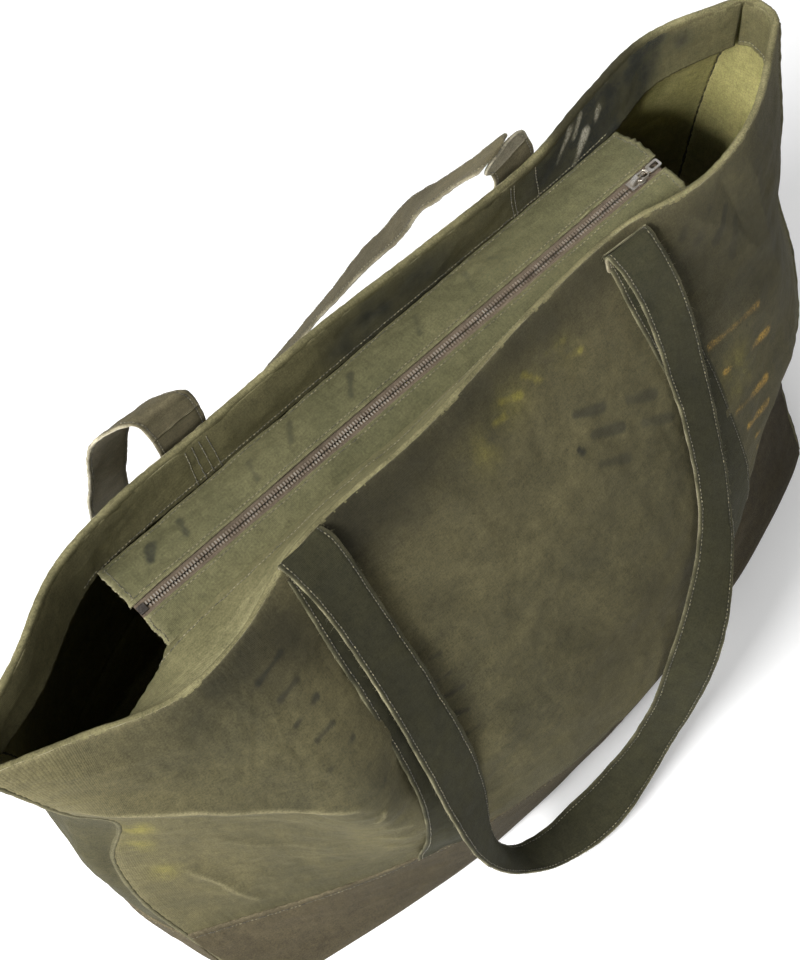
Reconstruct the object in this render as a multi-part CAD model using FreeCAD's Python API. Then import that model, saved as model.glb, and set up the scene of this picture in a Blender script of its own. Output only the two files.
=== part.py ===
import FreeCAD, Part
import os, math

# Large zip-top canvas tote.  Millimetres, +Z up, X along the length, -Y is the
# front.  The origin is the middle of the base, on the surface it stands on.
# The cloth pieces are curved sheets with a real thickness, lofted through
# the control net below.

# ---------------------------------------------------------------- dimensions
X0 = 10.0             # net x of the middle of the base
CLOTH_T = 2.0         # body canvas, seam allowance included
BAND_T = 2.4          # base canvas
FLOOR_T = 2.4
FACING_T = 1.4
STRIP_T = 1.6
STRAP_T = 2.4
LEG_T = 1.8
SEAM_GAP = 0.5        # clear space between neighbouring sewn panels

ZIP_Z = 370.6         # mid height of the zip tape
TAPE_T = 0.7
TAPE_IN = 0.8         # tape's inner edge from the zip's centre line
TAPE_OUT = 15.0
STRIP_X0, STRIP_X1 = -217.0, 256.0
TOOTH_PITCH = 2.35
TOOTH_N = 184
TOOTH_X0 = -208.8     # first tooth
TOOTH_L = 1.05        # along the zip
TOOTH_IN, TOOTH_OUT = 0.45, 2.95
TOOTH_H = 2.3
STOP_L = 6.0
SLIDER_L = 13.0
SLIDER_W = 9.4
SLIDER_X0 = 224.2     # slider's left end with the zip closed
PLATE_T = 1.0
SLIDE_TRAVEL = 428.0

V = FreeCAD.Vector

# ------------------------------------------------------------ control net
# columns run left to right, levels run floor, base seam, ... , rim
FRONT = [
 [(-304,-129,0),(-321,-78,75),(-328,-52,130),(-322,-38,190),(-303,-46,250),(-322,-46,318),(-336,-34,362),(-346,-24,392)],
 [(-283,-136,0),(-293,-92,75),(-293,-76,130),(-291,-62,195),(-288,-62,258),(-292,-78,318),(-291,-66,352),(-286,-47,388)],
 [(-228,-148,0),(-230,-124,75),(-232,-112,130),(-233,-103,195),(-232,-106,250),(-233,-124,292),(-230,-99,342),(-227,-69,385)],
 [(-170,-159,0),(-170,-150,75),(-170,-157,130),(-170,-163,190),(-172,-166,245),(-172,-146,300),(-172,-104,348),(-172,-67,387)],
 [(-100,-168,0),(-101,-172,75),(-101,-184,125),(-101,-172,190),(-101,-137,260),(-102,-104,315),(-102,-76,358),(-103,-51,399)],
 [(0,-168,0),(0,-183,75),(0,-196,122),(0,-174,190),(0,-136,260),(0,-100,315),(0,-70,362),(0,-50,402)],
 [(98,-162,0),(98,-170,75),(98,-183,122),(98,-166,190),(98,-130,260),(98,-96,315),(99,-62,362),(100,-38,402)],
 [(190,-150,0),(190,-136,75),(192,-149,125),(190,-142,190),(190,-114,260),(190,-84,315),(190,-55,362),(190,-34,402)],
 [(255,-132,0),(256,-102,75),(258,-110,125),(258,-116,190),(258,-97,260),(258,-77,315),(256,-60,362),(255,-47,402)],
 [(300,-116,0),(306,-76,75),(310,-84,125),(312,-90,190),(314,-74,260),(316,-58,315),(318,-46,362),(320,-34,402)],
 [(323,-105,0),(335,-64,75),(350,-66,130),(366,-42,190),(366,-20,255),(380,-8,310),(385,2,360),(388,8,402)],
]
BACK = [
 [(-310,118,0),(-324,84,75),(-330,64,130),(-330,50,190),(-326,36,255),(-330,18,315),(-338,4,362),(-342,-8,400)],
 [(-283,130,0),(-288,112,75),(-290,104,130),(-290,96,190),(-289,78,255),(-288,56,315),(-287,34,362),(-285,15,402)],
 [(-228,145,0),(-230,140,75),(-230,138,130),(-230,128,190),(-230,106,255),(-230,80,315),(-230,60,362),(-230,46,402)],
 [(-170,158,0),(-170,162,75),(-170,160,130),(-170,148,190),(-170,122,255),(-170,94,315),(-170,70,362),(-170,56,402)],
 [(-100,165,0),(-100,176,75),(-100,176,130),(-100,160,190),(-100,130,255),(-100,98,315),(-100,72,362),(-100,56,402)],
 [(0,168,0),(0,182,75),(0,182,130),(0,165,190),(0,134,255),(0,100,315),(0,74,362),(0,57,402)],
 [(100,165,0),(100,178,75),(100,178,130),(100,160,190),(100,128,255),(100,96,315),(100,70,362),(100,52,402)],
 [(190,155,0),(190,160,75),(190,160,130),(190,146,190),(190,118,255),(190,90,315),(190,66,362),(190,50,402)],
 [(255,142,0),(256,138,75),(257,136,130),(257,128,190),(257,108,255),(257,86,315),(256,70,362),(255,61,402)],
 [(300,122,0),(308,112,75),(313,110,130),(316,104,190),(318,92,255),(320,80,315),(320,72,362),(320,66,402)],
 [(323,108,0),(340,90,75),(355,84,130),(368,78,190),(378,72,255),(386,62,315),(389,50,362),(389,40,402)],
]
LEFT = [FRONT[0],
 [(-326,-62,0),(-334,-40,75),(-338,-28,130),(-337,-26,190),(-326,-18,250),(-326,-24,315),(-340,-26,362),(-350,-22,396)],
 [(-334,0,0),(-338,5,75),(-338,10,130),(-334,6,190),(-322,2,250),(-322,-8,315),(-338,-16,362),(-352,-16,398)],
 [(-328,60,0),(-334,48,75),(-336,38,130),(-334,28,190),(-324,18,250),(-325,4,315),(-338,-6,362),(-349,-12,400)],
 BACK[0]]
RIGHT = [FRONT[-1],
 [(343,-55,0),(350,-30,75),(364,-28,130),(374,-10,190),(376,8,255),(386,8,315),(390,12,362),(392,15,402)],
 [(352,0,0),(358,12,75),(368,14,130),(376,22,190),(378,28,255),(387,26,315),(391,26,362),(393,24,402)],
 [(345,58,0),(352,52,75),(364,52,130),(374,52,190),(380,50,255),(387,44,315),(391,38,362),(392,33,402)],
 BACK[-1]]

# lower edge of the facing that hangs inside the rim: one point per column
FACE_F = [(-334,-26,352),(-286,-44,346),(-228,-46,352),(-190,-32,364),(-103,-31,365),(0,-31,365),
          (100,-31,365),(190,-30.5,365),(262,-32,363),(318,-30,360),(380,9,360)]
FACE_B = [(-333,-8,360),(-284,8,360),(-230,38,361),(-190,47,361),(-100,47,361),(0,47,361),
          (100,47,361),(190,46,361),(262,47,361),(318,56,360),(382,38,360)]

# free loop of each handle: (outer edge, inner edge) pairs along the strap
HANDLE_F = [
 ((-128,-57,401),(-90,-55,402)), ((-126,-65,393),(-87,-62,394)), ((-124,-80.2,377),(-87,-77.2,372)),
 ((-123,-94.2,357),(-88,-92.2,348)), ((-124,-112.2,330),(-88,-108.2,322)), ((-127,-139.2,291),(-89,-132.2,288)),
 ((-131,-165,246),(-91,-155,250)), ((-134,-182,205),(-93,-169,214)), ((-135,-197,166),(-98,-180,178)),
 ((-131,-205,122),(-105,-187,148)), ((-121,-209,80),(-109,-189,112)), ((-105,-214,44),(-106,-190,74)),
 ((-83,-221,20),(-94,-193,44)), ((-60,-226,11),(-67,-196,30)), ((-38,-230,11),(-41,-195,27)),
 ((-13,-231,17),(-17,-197,34)), ((18,-226,28),(10,-199,52)), ((48,-221,48),(33,-201,77)),
 ((70,-221,76),(51,-200,104)), ((86,-221.8,110),(70,-194.8,134)), ((104,-217.6,137),(94,-185.6,160)),
 ((126,-204.4,155),(116,-174.4,180)), ((147,-186.4,169),(131,-165.4,197)), ((163,-170.4,184),(143,-155.4,214)),
 ((175,-155.4,204),(152,-143.4,235)), ((184,-141.4,229),(159,-130.4,259)), ((193,-123.4,260),(166,-113.4,286)),
 ((201,-105.4,293),(170,-97.4,313)), ((206,-90.4,325),(174,-82.4,340)), ((208,-77,354),(175,-69,365)),
 ((208,-62.6,380),(173,-55.6,388)), ((206,-49.2,400),(169,-47.2,402)),
]
HANDLE_B = [
 ((-134,70,433),(-95,66,434)), ((-143,80,428),(-104,74,430)), ((-151,89.5,416),(-112,84.5,419)),
 ((-158,99.5,400),(-119,95.5,403)), ((-162,109,378),(-123,108,381)), ((-164,121.7,345),(-125,123.7,348)),
 ((-167,139.7,295),(-128,143.7,296)), ((-170,165.7,235),(-131,166.7,238)), ((-170,189.7,175),(-132,183.7,182)),
 ((-165,212.7,122),(-131,194.7,134)), ((-150,227.7,78),(-124,200.7,98)), ((-125,233.7,54),(-110,202.7,78)),
 ((-98,231.7,60),(-93,200.7,86)), ((-74,222.7,86),(-76,193.7,112)), ((-52,210.7,118),(-58,183.7,146)),
 ((-28,196.7,154),(-38,171.7,184)), ((2,182.7,192),(-10,157.7,220)), ((36,167.7,230),(23,143.7,258)),
 ((70,152.7,270),(56,127.7,297)), ((101,143.7,300),(85,115.7,323)), ((116,134.7,319),(103,104.7,341)),
 ((128,126.7,337),(112,96.7,359)), ((139,116.7,354),(121,89.7,377)), ((149,102,372),(128,78,394)),
 ((158,89.5,388),(135,69.5,407)), ((168,79.5,401),(141,62.5,416)), ((178,70,416),(147,57,422)),
 ((187,62,427),(151,54,425)),
]
# rise of the back straps from the rim to where they fold over
RISE_BL = [((-130,61.5,402),(-91,62,402)),((-130,64,414),(-91,63.5,415)),((-131,68.5,425),(-92,66.5,427))]
RISE_BR = [((162,55.5,401),(201,59,401)),((160,55.5,411),(199,60.5,412)),((155,56,419),(194,62.5,421))]


def hermite(P, t):
    n = len(P)
    i = min(int(math.floor(t)), n - 2)
    f = t - i
    def tan(k):
        if k == 0: return [P[1][a] - P[0][a] for a in range(3)]
        if k == n - 1: return [P[-1][a] - P[-2][a] for a in range(3)]
        return [(P[k+1][a] - P[k-1][a]) / 2.0 for a in range(3)]
    m0, m1 = tan(i), tan(i + 1)
    h00, h10, h01, h11 = 2*f**3-3*f*f+1, f**3-2*f*f+f, -2*f**3+3*f*f, f**3-f*f
    return tuple(h00*P[i][a] + h10*m0[a] + h01*P[i+1][a] + h11*m1[a] for a in range(3))


def net(G, u, v):
    return hermite([hermite(col, v) for col in G], u)


def vec(p):
    return V(p[0] - X0, p[1], p[2])


def grid_of(fn, us, vs):
    return [[fn(u, v) for v in vs] for u in us]


def normals(G):
    nu, nv = len(G), len(G[0])
    N = []
    for i in range(nu):
        row = []
        for j in range(nv):
            a = G[min(i+1, nu-1)][j] - G[max(i-1, 0)][j]
            b = G[i][min(j+1, nv-1)] - G[i][max(j-1, 0)]
            n = a.cross(b)
            n.normalize()
            row.append(n)
        N.append(row)
    return N


def surface(G):
    s = Part.BSplineSurface()
    s.interpolate(G)
    return s


def sheet(G, t0, t1, flip=1.0, level_foot=False):
    """closed solid between the offsets t0 and t1 of a grid of points"""
    N = normals(G)
    if level_foot:
        for row in N:
            row[0] = V(row[0].x, row[0].y, 0)
            row[0].normalize()
    A = [[G[i][j] + N[i][j] * (flip * t0) for j in range(len(G[0]))] for i in range(len(G))]
    B = [[G[i][j] + N[i][j] * (flip * t1) for j in range(len(G[0]))] for i in range(len(G))]
    out = between(A, B)
    if out is None:
        raise RuntimeError("sheet did not close")
    return out


def between(A, B):
    sa, sb = surface(A), surface(B)
    faces = [sa.toShape(), sb.toShape()]
    def edge(s, kind, par):
        c = s.uIso(par) if kind == "u" else s.vIso(par)
        return c.toShape()
    ua0, ua1, va0, va1 = sa.bounds()
    ub0, ub1, vb0, vb1 = sb.bounds()
    for kind, pa, pb in (("u", ua0, ub0), ("u", ua1, ub1), ("v", va0, vb0), ("v", va1, vb1)):
        faces.append(Part.makeRuledSurface(edge(sa, kind, pa), edge(sb, kind, pb)))
    for tol in (1e-3, 1e-2, 5e-2):
        sh = Part.makeCompound(faces)
        sh.sewShape(tol)
        if not sh.Shells or not sh.Shells[0].isClosed():
            continue
        solid = Part.makeSolid(sh.Shells[0])
        if solid.Volume < 0:
            solid.reverse()
        if solid.isValid() and len(solid.Solids) == 1:
            return solid
    return None


def lin(a, b, n):
    return [a + (b - a) * k / (n - 1.0) for k in range(n)]


def box(x0, x1, y0, y1, z0, z1):
    return Part.makeBox(x1 - x0, y1 - y0, z1 - z0, V(x0, y0, z0))


PARTS = {}


def add(name, shape):
    PARTS[name] = shape


# ------------------------------------------------------------------ base
def outline(n=12):
    pts = []
    for u in lin(0, 10, 10 * n // 3 + 1)[:-1]: pts.append(net(FRONT, u, 0))
    for u in lin(0, 4, 17)[:-1]: pts.append(net(RIGHT, u, 0))
    for u in lin(10, 0, 10 * n // 3 + 1)[:-1]: pts.append(net(BACK, u, 0))
    for u in lin(4, 0, 17)[:-1]: pts.append(net(LEFT, u, 0))
    return pts


ring = outline()
inset = 1.8
cx = sum(p[0] for p in ring) / len(ring)
flat = []
n = len(ring)
for k in range(n):
    a, b, c = ring[k-1], ring[k], ring[(k+1) % n]
    dx, dy = c[0] - a[0], c[1] - a[1]
    L = math.hypot(dx, dy)
    flat.append(V(b[0] - X0 - dy / L * inset, b[1] + dx / L * inset, 0))
flat.append(flat[0])
add("base_floor", Part.Face(Part.makePolygon(flat)).extrude(V(0, 0, FLOOR_T)))

EDGE = 0.02
add("base_front_band", sheet(grid_of(lambda u, v: vec(net(FRONT, u, v)), lin(EDGE, 10-EDGE, 31), lin(0.0, 0.994, 6)), 0.0, BAND_T, 1.0, True))
add("base_back_band", sheet(grid_of(lambda u, v: vec(net(BACK, u, v)), lin(10-EDGE, EDGE, 31), lin(0.0, 0.994, 6)), 0.0, BAND_T, 1.0, True))
add("base_left_band", sheet(grid_of(lambda u, v: vec(net(LEFT, u, v)), lin(4-0.04, 0.04, 15), lin(0.0, 0.994, 6)), 0.0, BAND_T, 1.0, True))
add("base_right_band", sheet(grid_of(lambda u, v: vec(net(RIGHT, u, v)), lin(0.04, 4-0.04, 15), lin(0.0, 0.994, 6)), 0.0, BAND_T, 1.0, True))

# ---------------------------------------------------------------- panels
LV = lin(1.006, 7.0, 25)
add("front_panel", sheet(grid_of(lambda u, v: vec(net(FRONT, u, v)), lin(EDGE, 10-EDGE, 41), LV), 0.0, CLOTH_T))
add("back_panel", sheet(grid_of(lambda u, v: vec(net(BACK, u, v)), lin(10-EDGE, EDGE, 41), LV), 0.0, CLOTH_T))
add("left_gusset", sheet(grid_of(lambda u, v: vec(net(LEFT, u, v)), lin(3.8, 0.2, 13), lin(1.006, 7.0, 19)), 0.0, CLOTH_T))
add("right_gusset", sheet(grid_of(lambda u, v: vec(net(RIGHT, u, v)), lin(0.1, 4-0.1, 17), LV), 0.0, CLOTH_T))


# --------------------------------------------------------------- facings
def facing(G, low, u0, u1, n, sgn):
    """cloth band from just inside the rim down to the low line"""
    rows = []
    for u in lin(u0, u1, n):
        top = vec(net(G, u, 7.0))
        a, b = vec(net(G, min(u+0.05, len(G)-1), 7.0)), vec(net(G, max(u-0.05, 0), 7.0))
        t = a - b
        inn = V(-t.y, t.x, 0) * sgn
        inn.normalize()
        lo = vec(hermite(low, u))
        hi = top + inn * 1.4 + V(0, 0, -0.6)
        rows.append([hi + (lo - hi) * f for f in (0.0, 0.33, 0.66, 1.0)])
    return rows


add("front_facing", sheet(facing(FRONT, FACE_F, 0.06, 9.94, 41, 1.0), 0.0, FACING_T, 1.0))
add("back_facing", sheet(facing(BACK, FACE_B, 0.06, 9.94, 41, -1.0), 0.0, FACING_T, -1.0))

FACE_L = [(-329,-26,352),(-331,-22,356),(-332,-17,358),(-331,-12,359),(-328,-8,360)]
FACE_R = [(380,9,360),(384,15,360),(386,24,360),(386,31,360),(382,38,360)]
add("left_facing", sheet(facing(LEFT, FACE_L, 0.5, 3.5, 9, -1.0), 0.0, FACING_T, -1.0))
add("right_facing", sheet(facing(RIGHT, FACE_R, 0.3, 3.7, 9, 1.0), 0.0, FACING_T, 1.0))


# ------------------------------------------------------------------- zip
def prism(poly, x0, x1):
    w = [V(x0, y, z) for y, z in poly]
    return Part.Face(Part.makePolygon(w + [w[0]])).extrude(V(x1 - x0, 0, 0))


s2 = STRIP_T / 2.0
add("zip_strip_back", prism([(6.0, ZIP_Z+1.3+STRIP_T), (6.0, ZIP_Z+1.3), (26.0, ZIP_Z+0.6), (43.6, 363.2), (43.6, 363.2+STRIP_T), (26.0, ZIP_Z+0.6+STRIP_T)], STRIP_X0-1.0, STRIP_X1))
add("zip_strip_front", prism([(-6.0, ZIP_Z+1.3), (-6.0, ZIP_Z+1.3+STRIP_T), (-18.0, ZIP_Z+0.8+STRIP_T), (-29.0, 366.6+STRIP_T), (-29.0, 366.6), (-18.0, ZIP_Z+0.8)], STRIP_X0, STRIP_X1-3.0))
TX0, TX1 = STRIP_X0+0.5, STRIP_X1-4.0
add("zip_tape_back", box(TX0, TX1, TAPE_IN, TAPE_OUT, ZIP_Z-TAPE_T/2, ZIP_Z+TAPE_T/2))
add("zip_tape_front", box(TX0, TX1, -TAPE_OUT, -TAPE_IN, ZIP_Z-TAPE_T/2, ZIP_Z+TAPE_T/2))


def tooth(xc, side):
    """U-shaped element clamped over the tape's edge, tapering to its tip"""
    a, b = TOOTH_IN * side, TOOTH_OUT * side
    h, l = TOOTH_H / 2.0, TOOTH_L / 2.0
    out = []
    for zs in (1, -1):
        z0, z1 = zs * (TAPE_T/2 + 0.05), zs * h
        pts = [(a, z0), (b, z0), (b, z1), (a + 0.5*side, z1), (a, zs*(h-0.35))]
        w = [V(xc - l, y, ZIP_Z + z) for y, z in pts]
        out.append(Part.Face(Part.makePolygon(w + [w[0]])).extrude(V(2*l, 0, 0)))
    return out


back, front = [], []
for k in range(TOOTH_N):
    xb = TOOTH_X0 + TOOTH_PITCH * k
    back += tooth(xb, 1.0)
    front += tooth(xb + TOOTH_PITCH / 2.0, -1.0)
add("zip_teeth_back", Part.makeCompound(back))
add("zip_teeth_front", Part.makeCompound(front))

bs = box(STRIP_X0 + 0.7, STRIP_X0 + 0.7 + STOP_L, -3.3, 3.3, ZIP_Z - 1.5, ZIP_Z + 1.5)
slot = box(STRIP_X0, STRIP_X0 + 8, TAPE_IN - 0.05, 4, ZIP_Z - TAPE_T/2 - 0.05, ZIP_Z + TAPE_T/2 + 0.05)
slot2 = box(STRIP_X0, STRIP_X0 + 8, -4, -TAPE_IN + 0.05, ZIP_Z - TAPE_T/2 - 0.05, ZIP_Z + TAPE_T/2 + 0.05)
bs = bs.makeFillet(0.5, [e for e in bs.Edges if abs(e.Vertexes[0].Y - e.Vertexes[1].Y) < 1e-6 and abs(e.Vertexes[0].Z - e.Vertexes[1].Z) < 1e-6])
add("zip_bottom_stop", bs.cut(slot).cut(slot2))
tops = []
for side in (1.0, -1.0):
    for zs in (1.0, -1.0):
        y0, y1 = sorted((0.9*side, 3.1*side))
        z0, z1 = sorted((zs*(TAPE_T/2+0.05), zs*1.3))
        tops.append(box(SLIDER_X0+SLIDER_L+0.6, SLIDER_X0+SLIDER_L+3.4, y0, y1, ZIP_Z+z0, ZIP_Z+z1))
add("zip_top_stops", Part.makeCompound(tops))

# ---------------------------------------------------------------- slider
sx0, sx1 = SLIDER_X0, SLIDER_X0 + SLIDER_L
def plate(z0, z1):
    hw0, hw1 = SLIDER_W/2 - 0.9, SLIDER_W/2
    pts = [(sx0, -hw0), (sx0 + 4.5, -hw0), (sx1 - 3.0, -hw1), (sx1 - 0.9, -hw1 + 0.3), (sx1, -hw1 + 1.4), (sx1, -1.2),
           (sx1 - 1.6, 0.0), (sx1, 1.2), (sx1, hw1 - 1.4), (sx1 - 0.9, hw1 - 0.3), (sx1 - 3.0, hw1), (sx0 + 4.5, hw0), (sx0, hw0)]
    w = [V(x, y, z0) for x, y in pts]
    return Part.Face(Part.makePolygon(w + [w[0]])).extrude(V(0, 0, z1 - z0))
zt = ZIP_Z + TOOTH_H/2 + 0.35
zb = ZIP_Z - TOOTH_H/2 - 0.35
body = plate(zt, zt + PLATE_T).fuse(plate(zb - PLATE_T, zb))
web = box(sx1 - 6.5, sx1 - 2.0, -0.17, 0.17, zb - 0.2, zt + 0.2)
body = body.fuse(web)
for side in (1.0, -1.0):
    y0, y1 = sorted((side * 3.25, side * (SLIDER_W/2 - 0.9)))
    body = body.fuse(box(sx0 + 0.3, sx1 - 1.6, y0, y1, ZIP_Z + TAPE_T/2 + 0.35, zt + 0.2))
    body = body.fuse(box(sx0 + 0.3, sx1 - 1.6, y0, y1, zb - 0.2, ZIP_Z - TAPE_T/2 - 0.35))
add("slider_body", body.removeSplitter())

# bridge: arch over the top plate that the pull hangs in
ztop = zt + PLATE_T
arch = [(sx0 + 2.2, 0.02), (sx0 + 2.2, 1.6), (sx0 + 3.4, 3.0), (sx0 + 5.6, 3.7), (sx1 - 4.4, 3.7), (sx1 - 2.6, 2.6), (sx1 - 2.0, 0.9), (sx1 - 2.0, 0.02),
        (sx1 - 3.3, 0.02), (sx1 - 3.5, 1.0), (sx1 - 4.6, 2.3), (sx0 + 5.9, 2.3), (sx0 + 4.2, 1.6), (sx0 + 3.6, 0.9), (sx0 + 3.6, 0.02)]
w = [V(x, -1.1, ztop + z) for x, z in arch]
add("slider_bridge", Part.Face(Part.makePolygon(w + [w[0]])).extrude(V(0, 2.2, 0)))

# pull: a wire link through the bridge and an open rectangular tab
PIVOT_X = sx1 - 5.2
PIVOT_Z = ztop + 1.35
LINK_R = 0.6
def wire_loop(x0, x1, hw, z, r, z1=None):
    """rounded rectangle of round wire lying flat; z1 lets it slope"""
    z1 = z if z1 is None else z1
    c = 1.6
    pts = [(x0, -hw + c), (x0 + c, -hw), (x1 - c, -hw), (x1, -hw + c), (x1, hw - c), (x1 - c, hw), (x0 + c, hw), (x0, hw - c)]
    zz = lambda x: z + (z1 - z) * (x - x0) / (x1 - x0)
    out = None
    m = len(pts)
    for k in range(m):
        p, q = pts[k], pts[(k+1) % m]
        P, Q = V(p[0], p[1], zz(p[0])), V(q[0], q[1], zz(q[0]))
        cyl = Part.makeCylinder(r, (Q - P).Length, P, Q - P)
        s = cyl.fuse(Part.makeSphere(r, P))
        out = s if out is None else out.fuse(s)
    return out
add("pull_link", wire_loop(PIVOT_X, PIVOT_X + 9.4, 2.9, PIVOT_Z, LINK_R, PIVOT_Z - 0.1))
FAR_X = PIVOT_X + 9.4
tx0, tx1 = FAR_X + 0.9, PIVOT_X + 21.0
tab = box(tx0, tx1, -3.4, 3.4, PIVOT_Z - 0.6, PIVOT_Z + 0.5)
tab = tab.makeFillet(1.5, [e for e in tab.Edges if abs(e.Vertexes[0].Z - e.Vertexes[1].Z) > 1.0])
hole = box(tx0 + 2.4, tx1 - 1.7, -1.7, 1.7, PIVOT_Z - 2, PIVOT_Z + 2)
hole = hole.makeFillet(0.8, [e for e in hole.Edges if abs(e.Vertexes[0].Z - e.Vertexes[1].Z) > 1.0])
eye = Part.makeCylinder(1.35, 3.0, V(FAR_X, -1.5, PIVOT_Z - 0.1), V(0, 1, 0))
bore = Part.makeCylinder(LINK_R + 0.08, 4.0, V(FAR_X, -2.0, PIVOT_Z - 0.1), V(0, 1, 0))
neck = box(FAR_X + 0.3, tx0 + 1.0, -1.5, 1.5, PIVOT_Z - 0.6, PIVOT_Z + 0.5)
add("pull_tab", tab.cut(hole).fuse(eye).fuse(neck).cut(bore).removeSplitter())


# ---------------------------------------------------------------- straps
def leg(G, ua, ub, v0, v1, rise=None):
    """strap sewn on the outside of a panel, from the base seam up to the rim"""
    rows = []
    for f in (0.0, 0.25, 0.5, 0.75, 1.0):
        row = []
        for k in range(25):
            v = v0 + (v1 - v0) * k / 24.0
            g = (v - 1.0) / 6.0
            u = (ua[0] + (ua[1] - ua[0]) * g) * (1 - f) + (ub[0] + (ub[1] - ub[0]) * g) * f
            row.append(vec(net(G, u, v)))
        rows.append(row)
    return rows


def col_u(G, x, v):
    best = None
    for k in range(0, 1001):
        u = k / 100.0
        d = abs(net(G, u, v)[0] - x)
        if best is None or d < best[0]:
            best = (d, u)
    return best[1]


OFF = CLOTH_T + 0.9
def leg_from_x(G, xb, xt, v0=1.03, v1=6.84):
    """xb, xt: left and right net x at the base seam and at the rim"""
    return leg(G, (col_u(G, xb[0], 1.0), col_u(G, xt[0], 7.0)), (col_u(G, xb[1], 1.0), col_u(G, xt[1], 7.0)), v0, v1)


add("front_leg_left", sheet(leg_from_x(FRONT, (-157, -119), (-128, -90)), OFF, OFF + LEG_T))
add("front_leg_right", sheet(leg_from_x(FRONT, (176, 213), (170, 208)), OFF, OFF + LEG_T))


def offset_rows(rows, d, flip):
    N = normals(rows)
    return [[rows[i][j] + N[i][j] * (flip * d) for j in range(len(rows[0]))] for i in range(len(rows))]


def back_leg(xb, xt, rise):
    rows = offset_rows(leg_from_x(BACK, xb, xt, 1.03, 6.8), OFF + LEG_T / 2.0, -1.0)
    m = len(rows)
    for i, f in enumerate((0.0, 0.25, 0.5, 0.75, 1.0)):
        for a, b in rise:
            rows[i].append(vec(a) * (1 - f) + vec(b) * f)
    return sheet(rows, -LEG_T / 2.0, LEG_T / 2.0, -1.0)


add("back_leg_left", back_leg((-130, -91), (-130, -91), RISE_BL))
add("back_leg_right", back_leg((162, 201), (162, 201), RISE_BR))


def ribbon(pairs, t):
    o = [vec(a) for a, b in pairs]
    i = [vec(b) for a, b in pairs]
    m = [(o[k] + i[k]) * 0.5 for k in range(len(o))]
    return sheet([o, m, i], -t / 2.0, t / 2.0)


add("front_handle", ribbon(HANDLE_F, STRAP_T))
add("back_handle", ribbon(HANDLE_B, STRAP_T))

# ---------------------------------------------------------------- output
os.makedirs("parts", exist_ok=True)
for name, shape in PARTS.items():
    shape.exportStep("parts/%s.step" % name)
    bb = shape.BoundBox
    print("%-18s valid %s solids %d vol %.0f  x %.1f..%.1f y %.1f..%.1f z %.1f..%.1f" % (
        name, shape.isValid(), len(shape.Solids), shape.Volume, bb.XMin, bb.XMax, bb.YMin, bb.YMax, bb.ZMin, bb.ZMax))
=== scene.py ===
import bpy
import math
import numpy as np
from mathutils import Matrix, Vector


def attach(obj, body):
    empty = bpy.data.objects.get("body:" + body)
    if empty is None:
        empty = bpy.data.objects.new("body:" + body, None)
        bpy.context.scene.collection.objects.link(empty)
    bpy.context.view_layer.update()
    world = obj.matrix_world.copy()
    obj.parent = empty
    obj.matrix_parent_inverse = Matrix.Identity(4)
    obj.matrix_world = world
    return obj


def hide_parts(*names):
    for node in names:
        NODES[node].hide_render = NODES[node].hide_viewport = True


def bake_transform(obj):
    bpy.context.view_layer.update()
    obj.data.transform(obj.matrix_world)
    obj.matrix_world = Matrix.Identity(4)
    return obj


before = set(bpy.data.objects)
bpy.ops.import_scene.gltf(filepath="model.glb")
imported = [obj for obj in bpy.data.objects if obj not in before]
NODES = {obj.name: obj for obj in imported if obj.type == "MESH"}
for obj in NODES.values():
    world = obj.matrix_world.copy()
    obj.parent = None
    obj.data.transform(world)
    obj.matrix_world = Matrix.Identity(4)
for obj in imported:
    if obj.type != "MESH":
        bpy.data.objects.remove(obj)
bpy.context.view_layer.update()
MM = 0.001
X0 = 10.0

# ---------------------------------------------------------------- camera
cam_data = bpy.data.cameras.new("camera")
cam = bpy.data.objects.new("camera", cam_data)
bpy.context.scene.collection.objects.link(cam)
right = Vector((0.73152504, -0.67012637, -0.12570505))
up = Vector((0.64754703, 0.6251347, 0.43576307))
fwd = Vector((0.21343373, 0.40017153, -0.89124003))
m = Matrix((right, up, -fwd)).transposed().to_4x4()
m.translation = Vector((-0.294103, -0.532671, 1.386336))
cam.matrix_world = m
cam_data.sensor_fit = "AUTO"
cam_data.sensor_width = 36.0
cam_data.lens = 1791.12 * 36.0 / 960.0
cam_data.shift_x = -10.946 / 960.0
cam_data.shift_y = 39.114 / 960.0
cam_data.clip_start, cam_data.clip_end = 0.05, 50.0
bpy.context.scene.camera = cam

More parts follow.
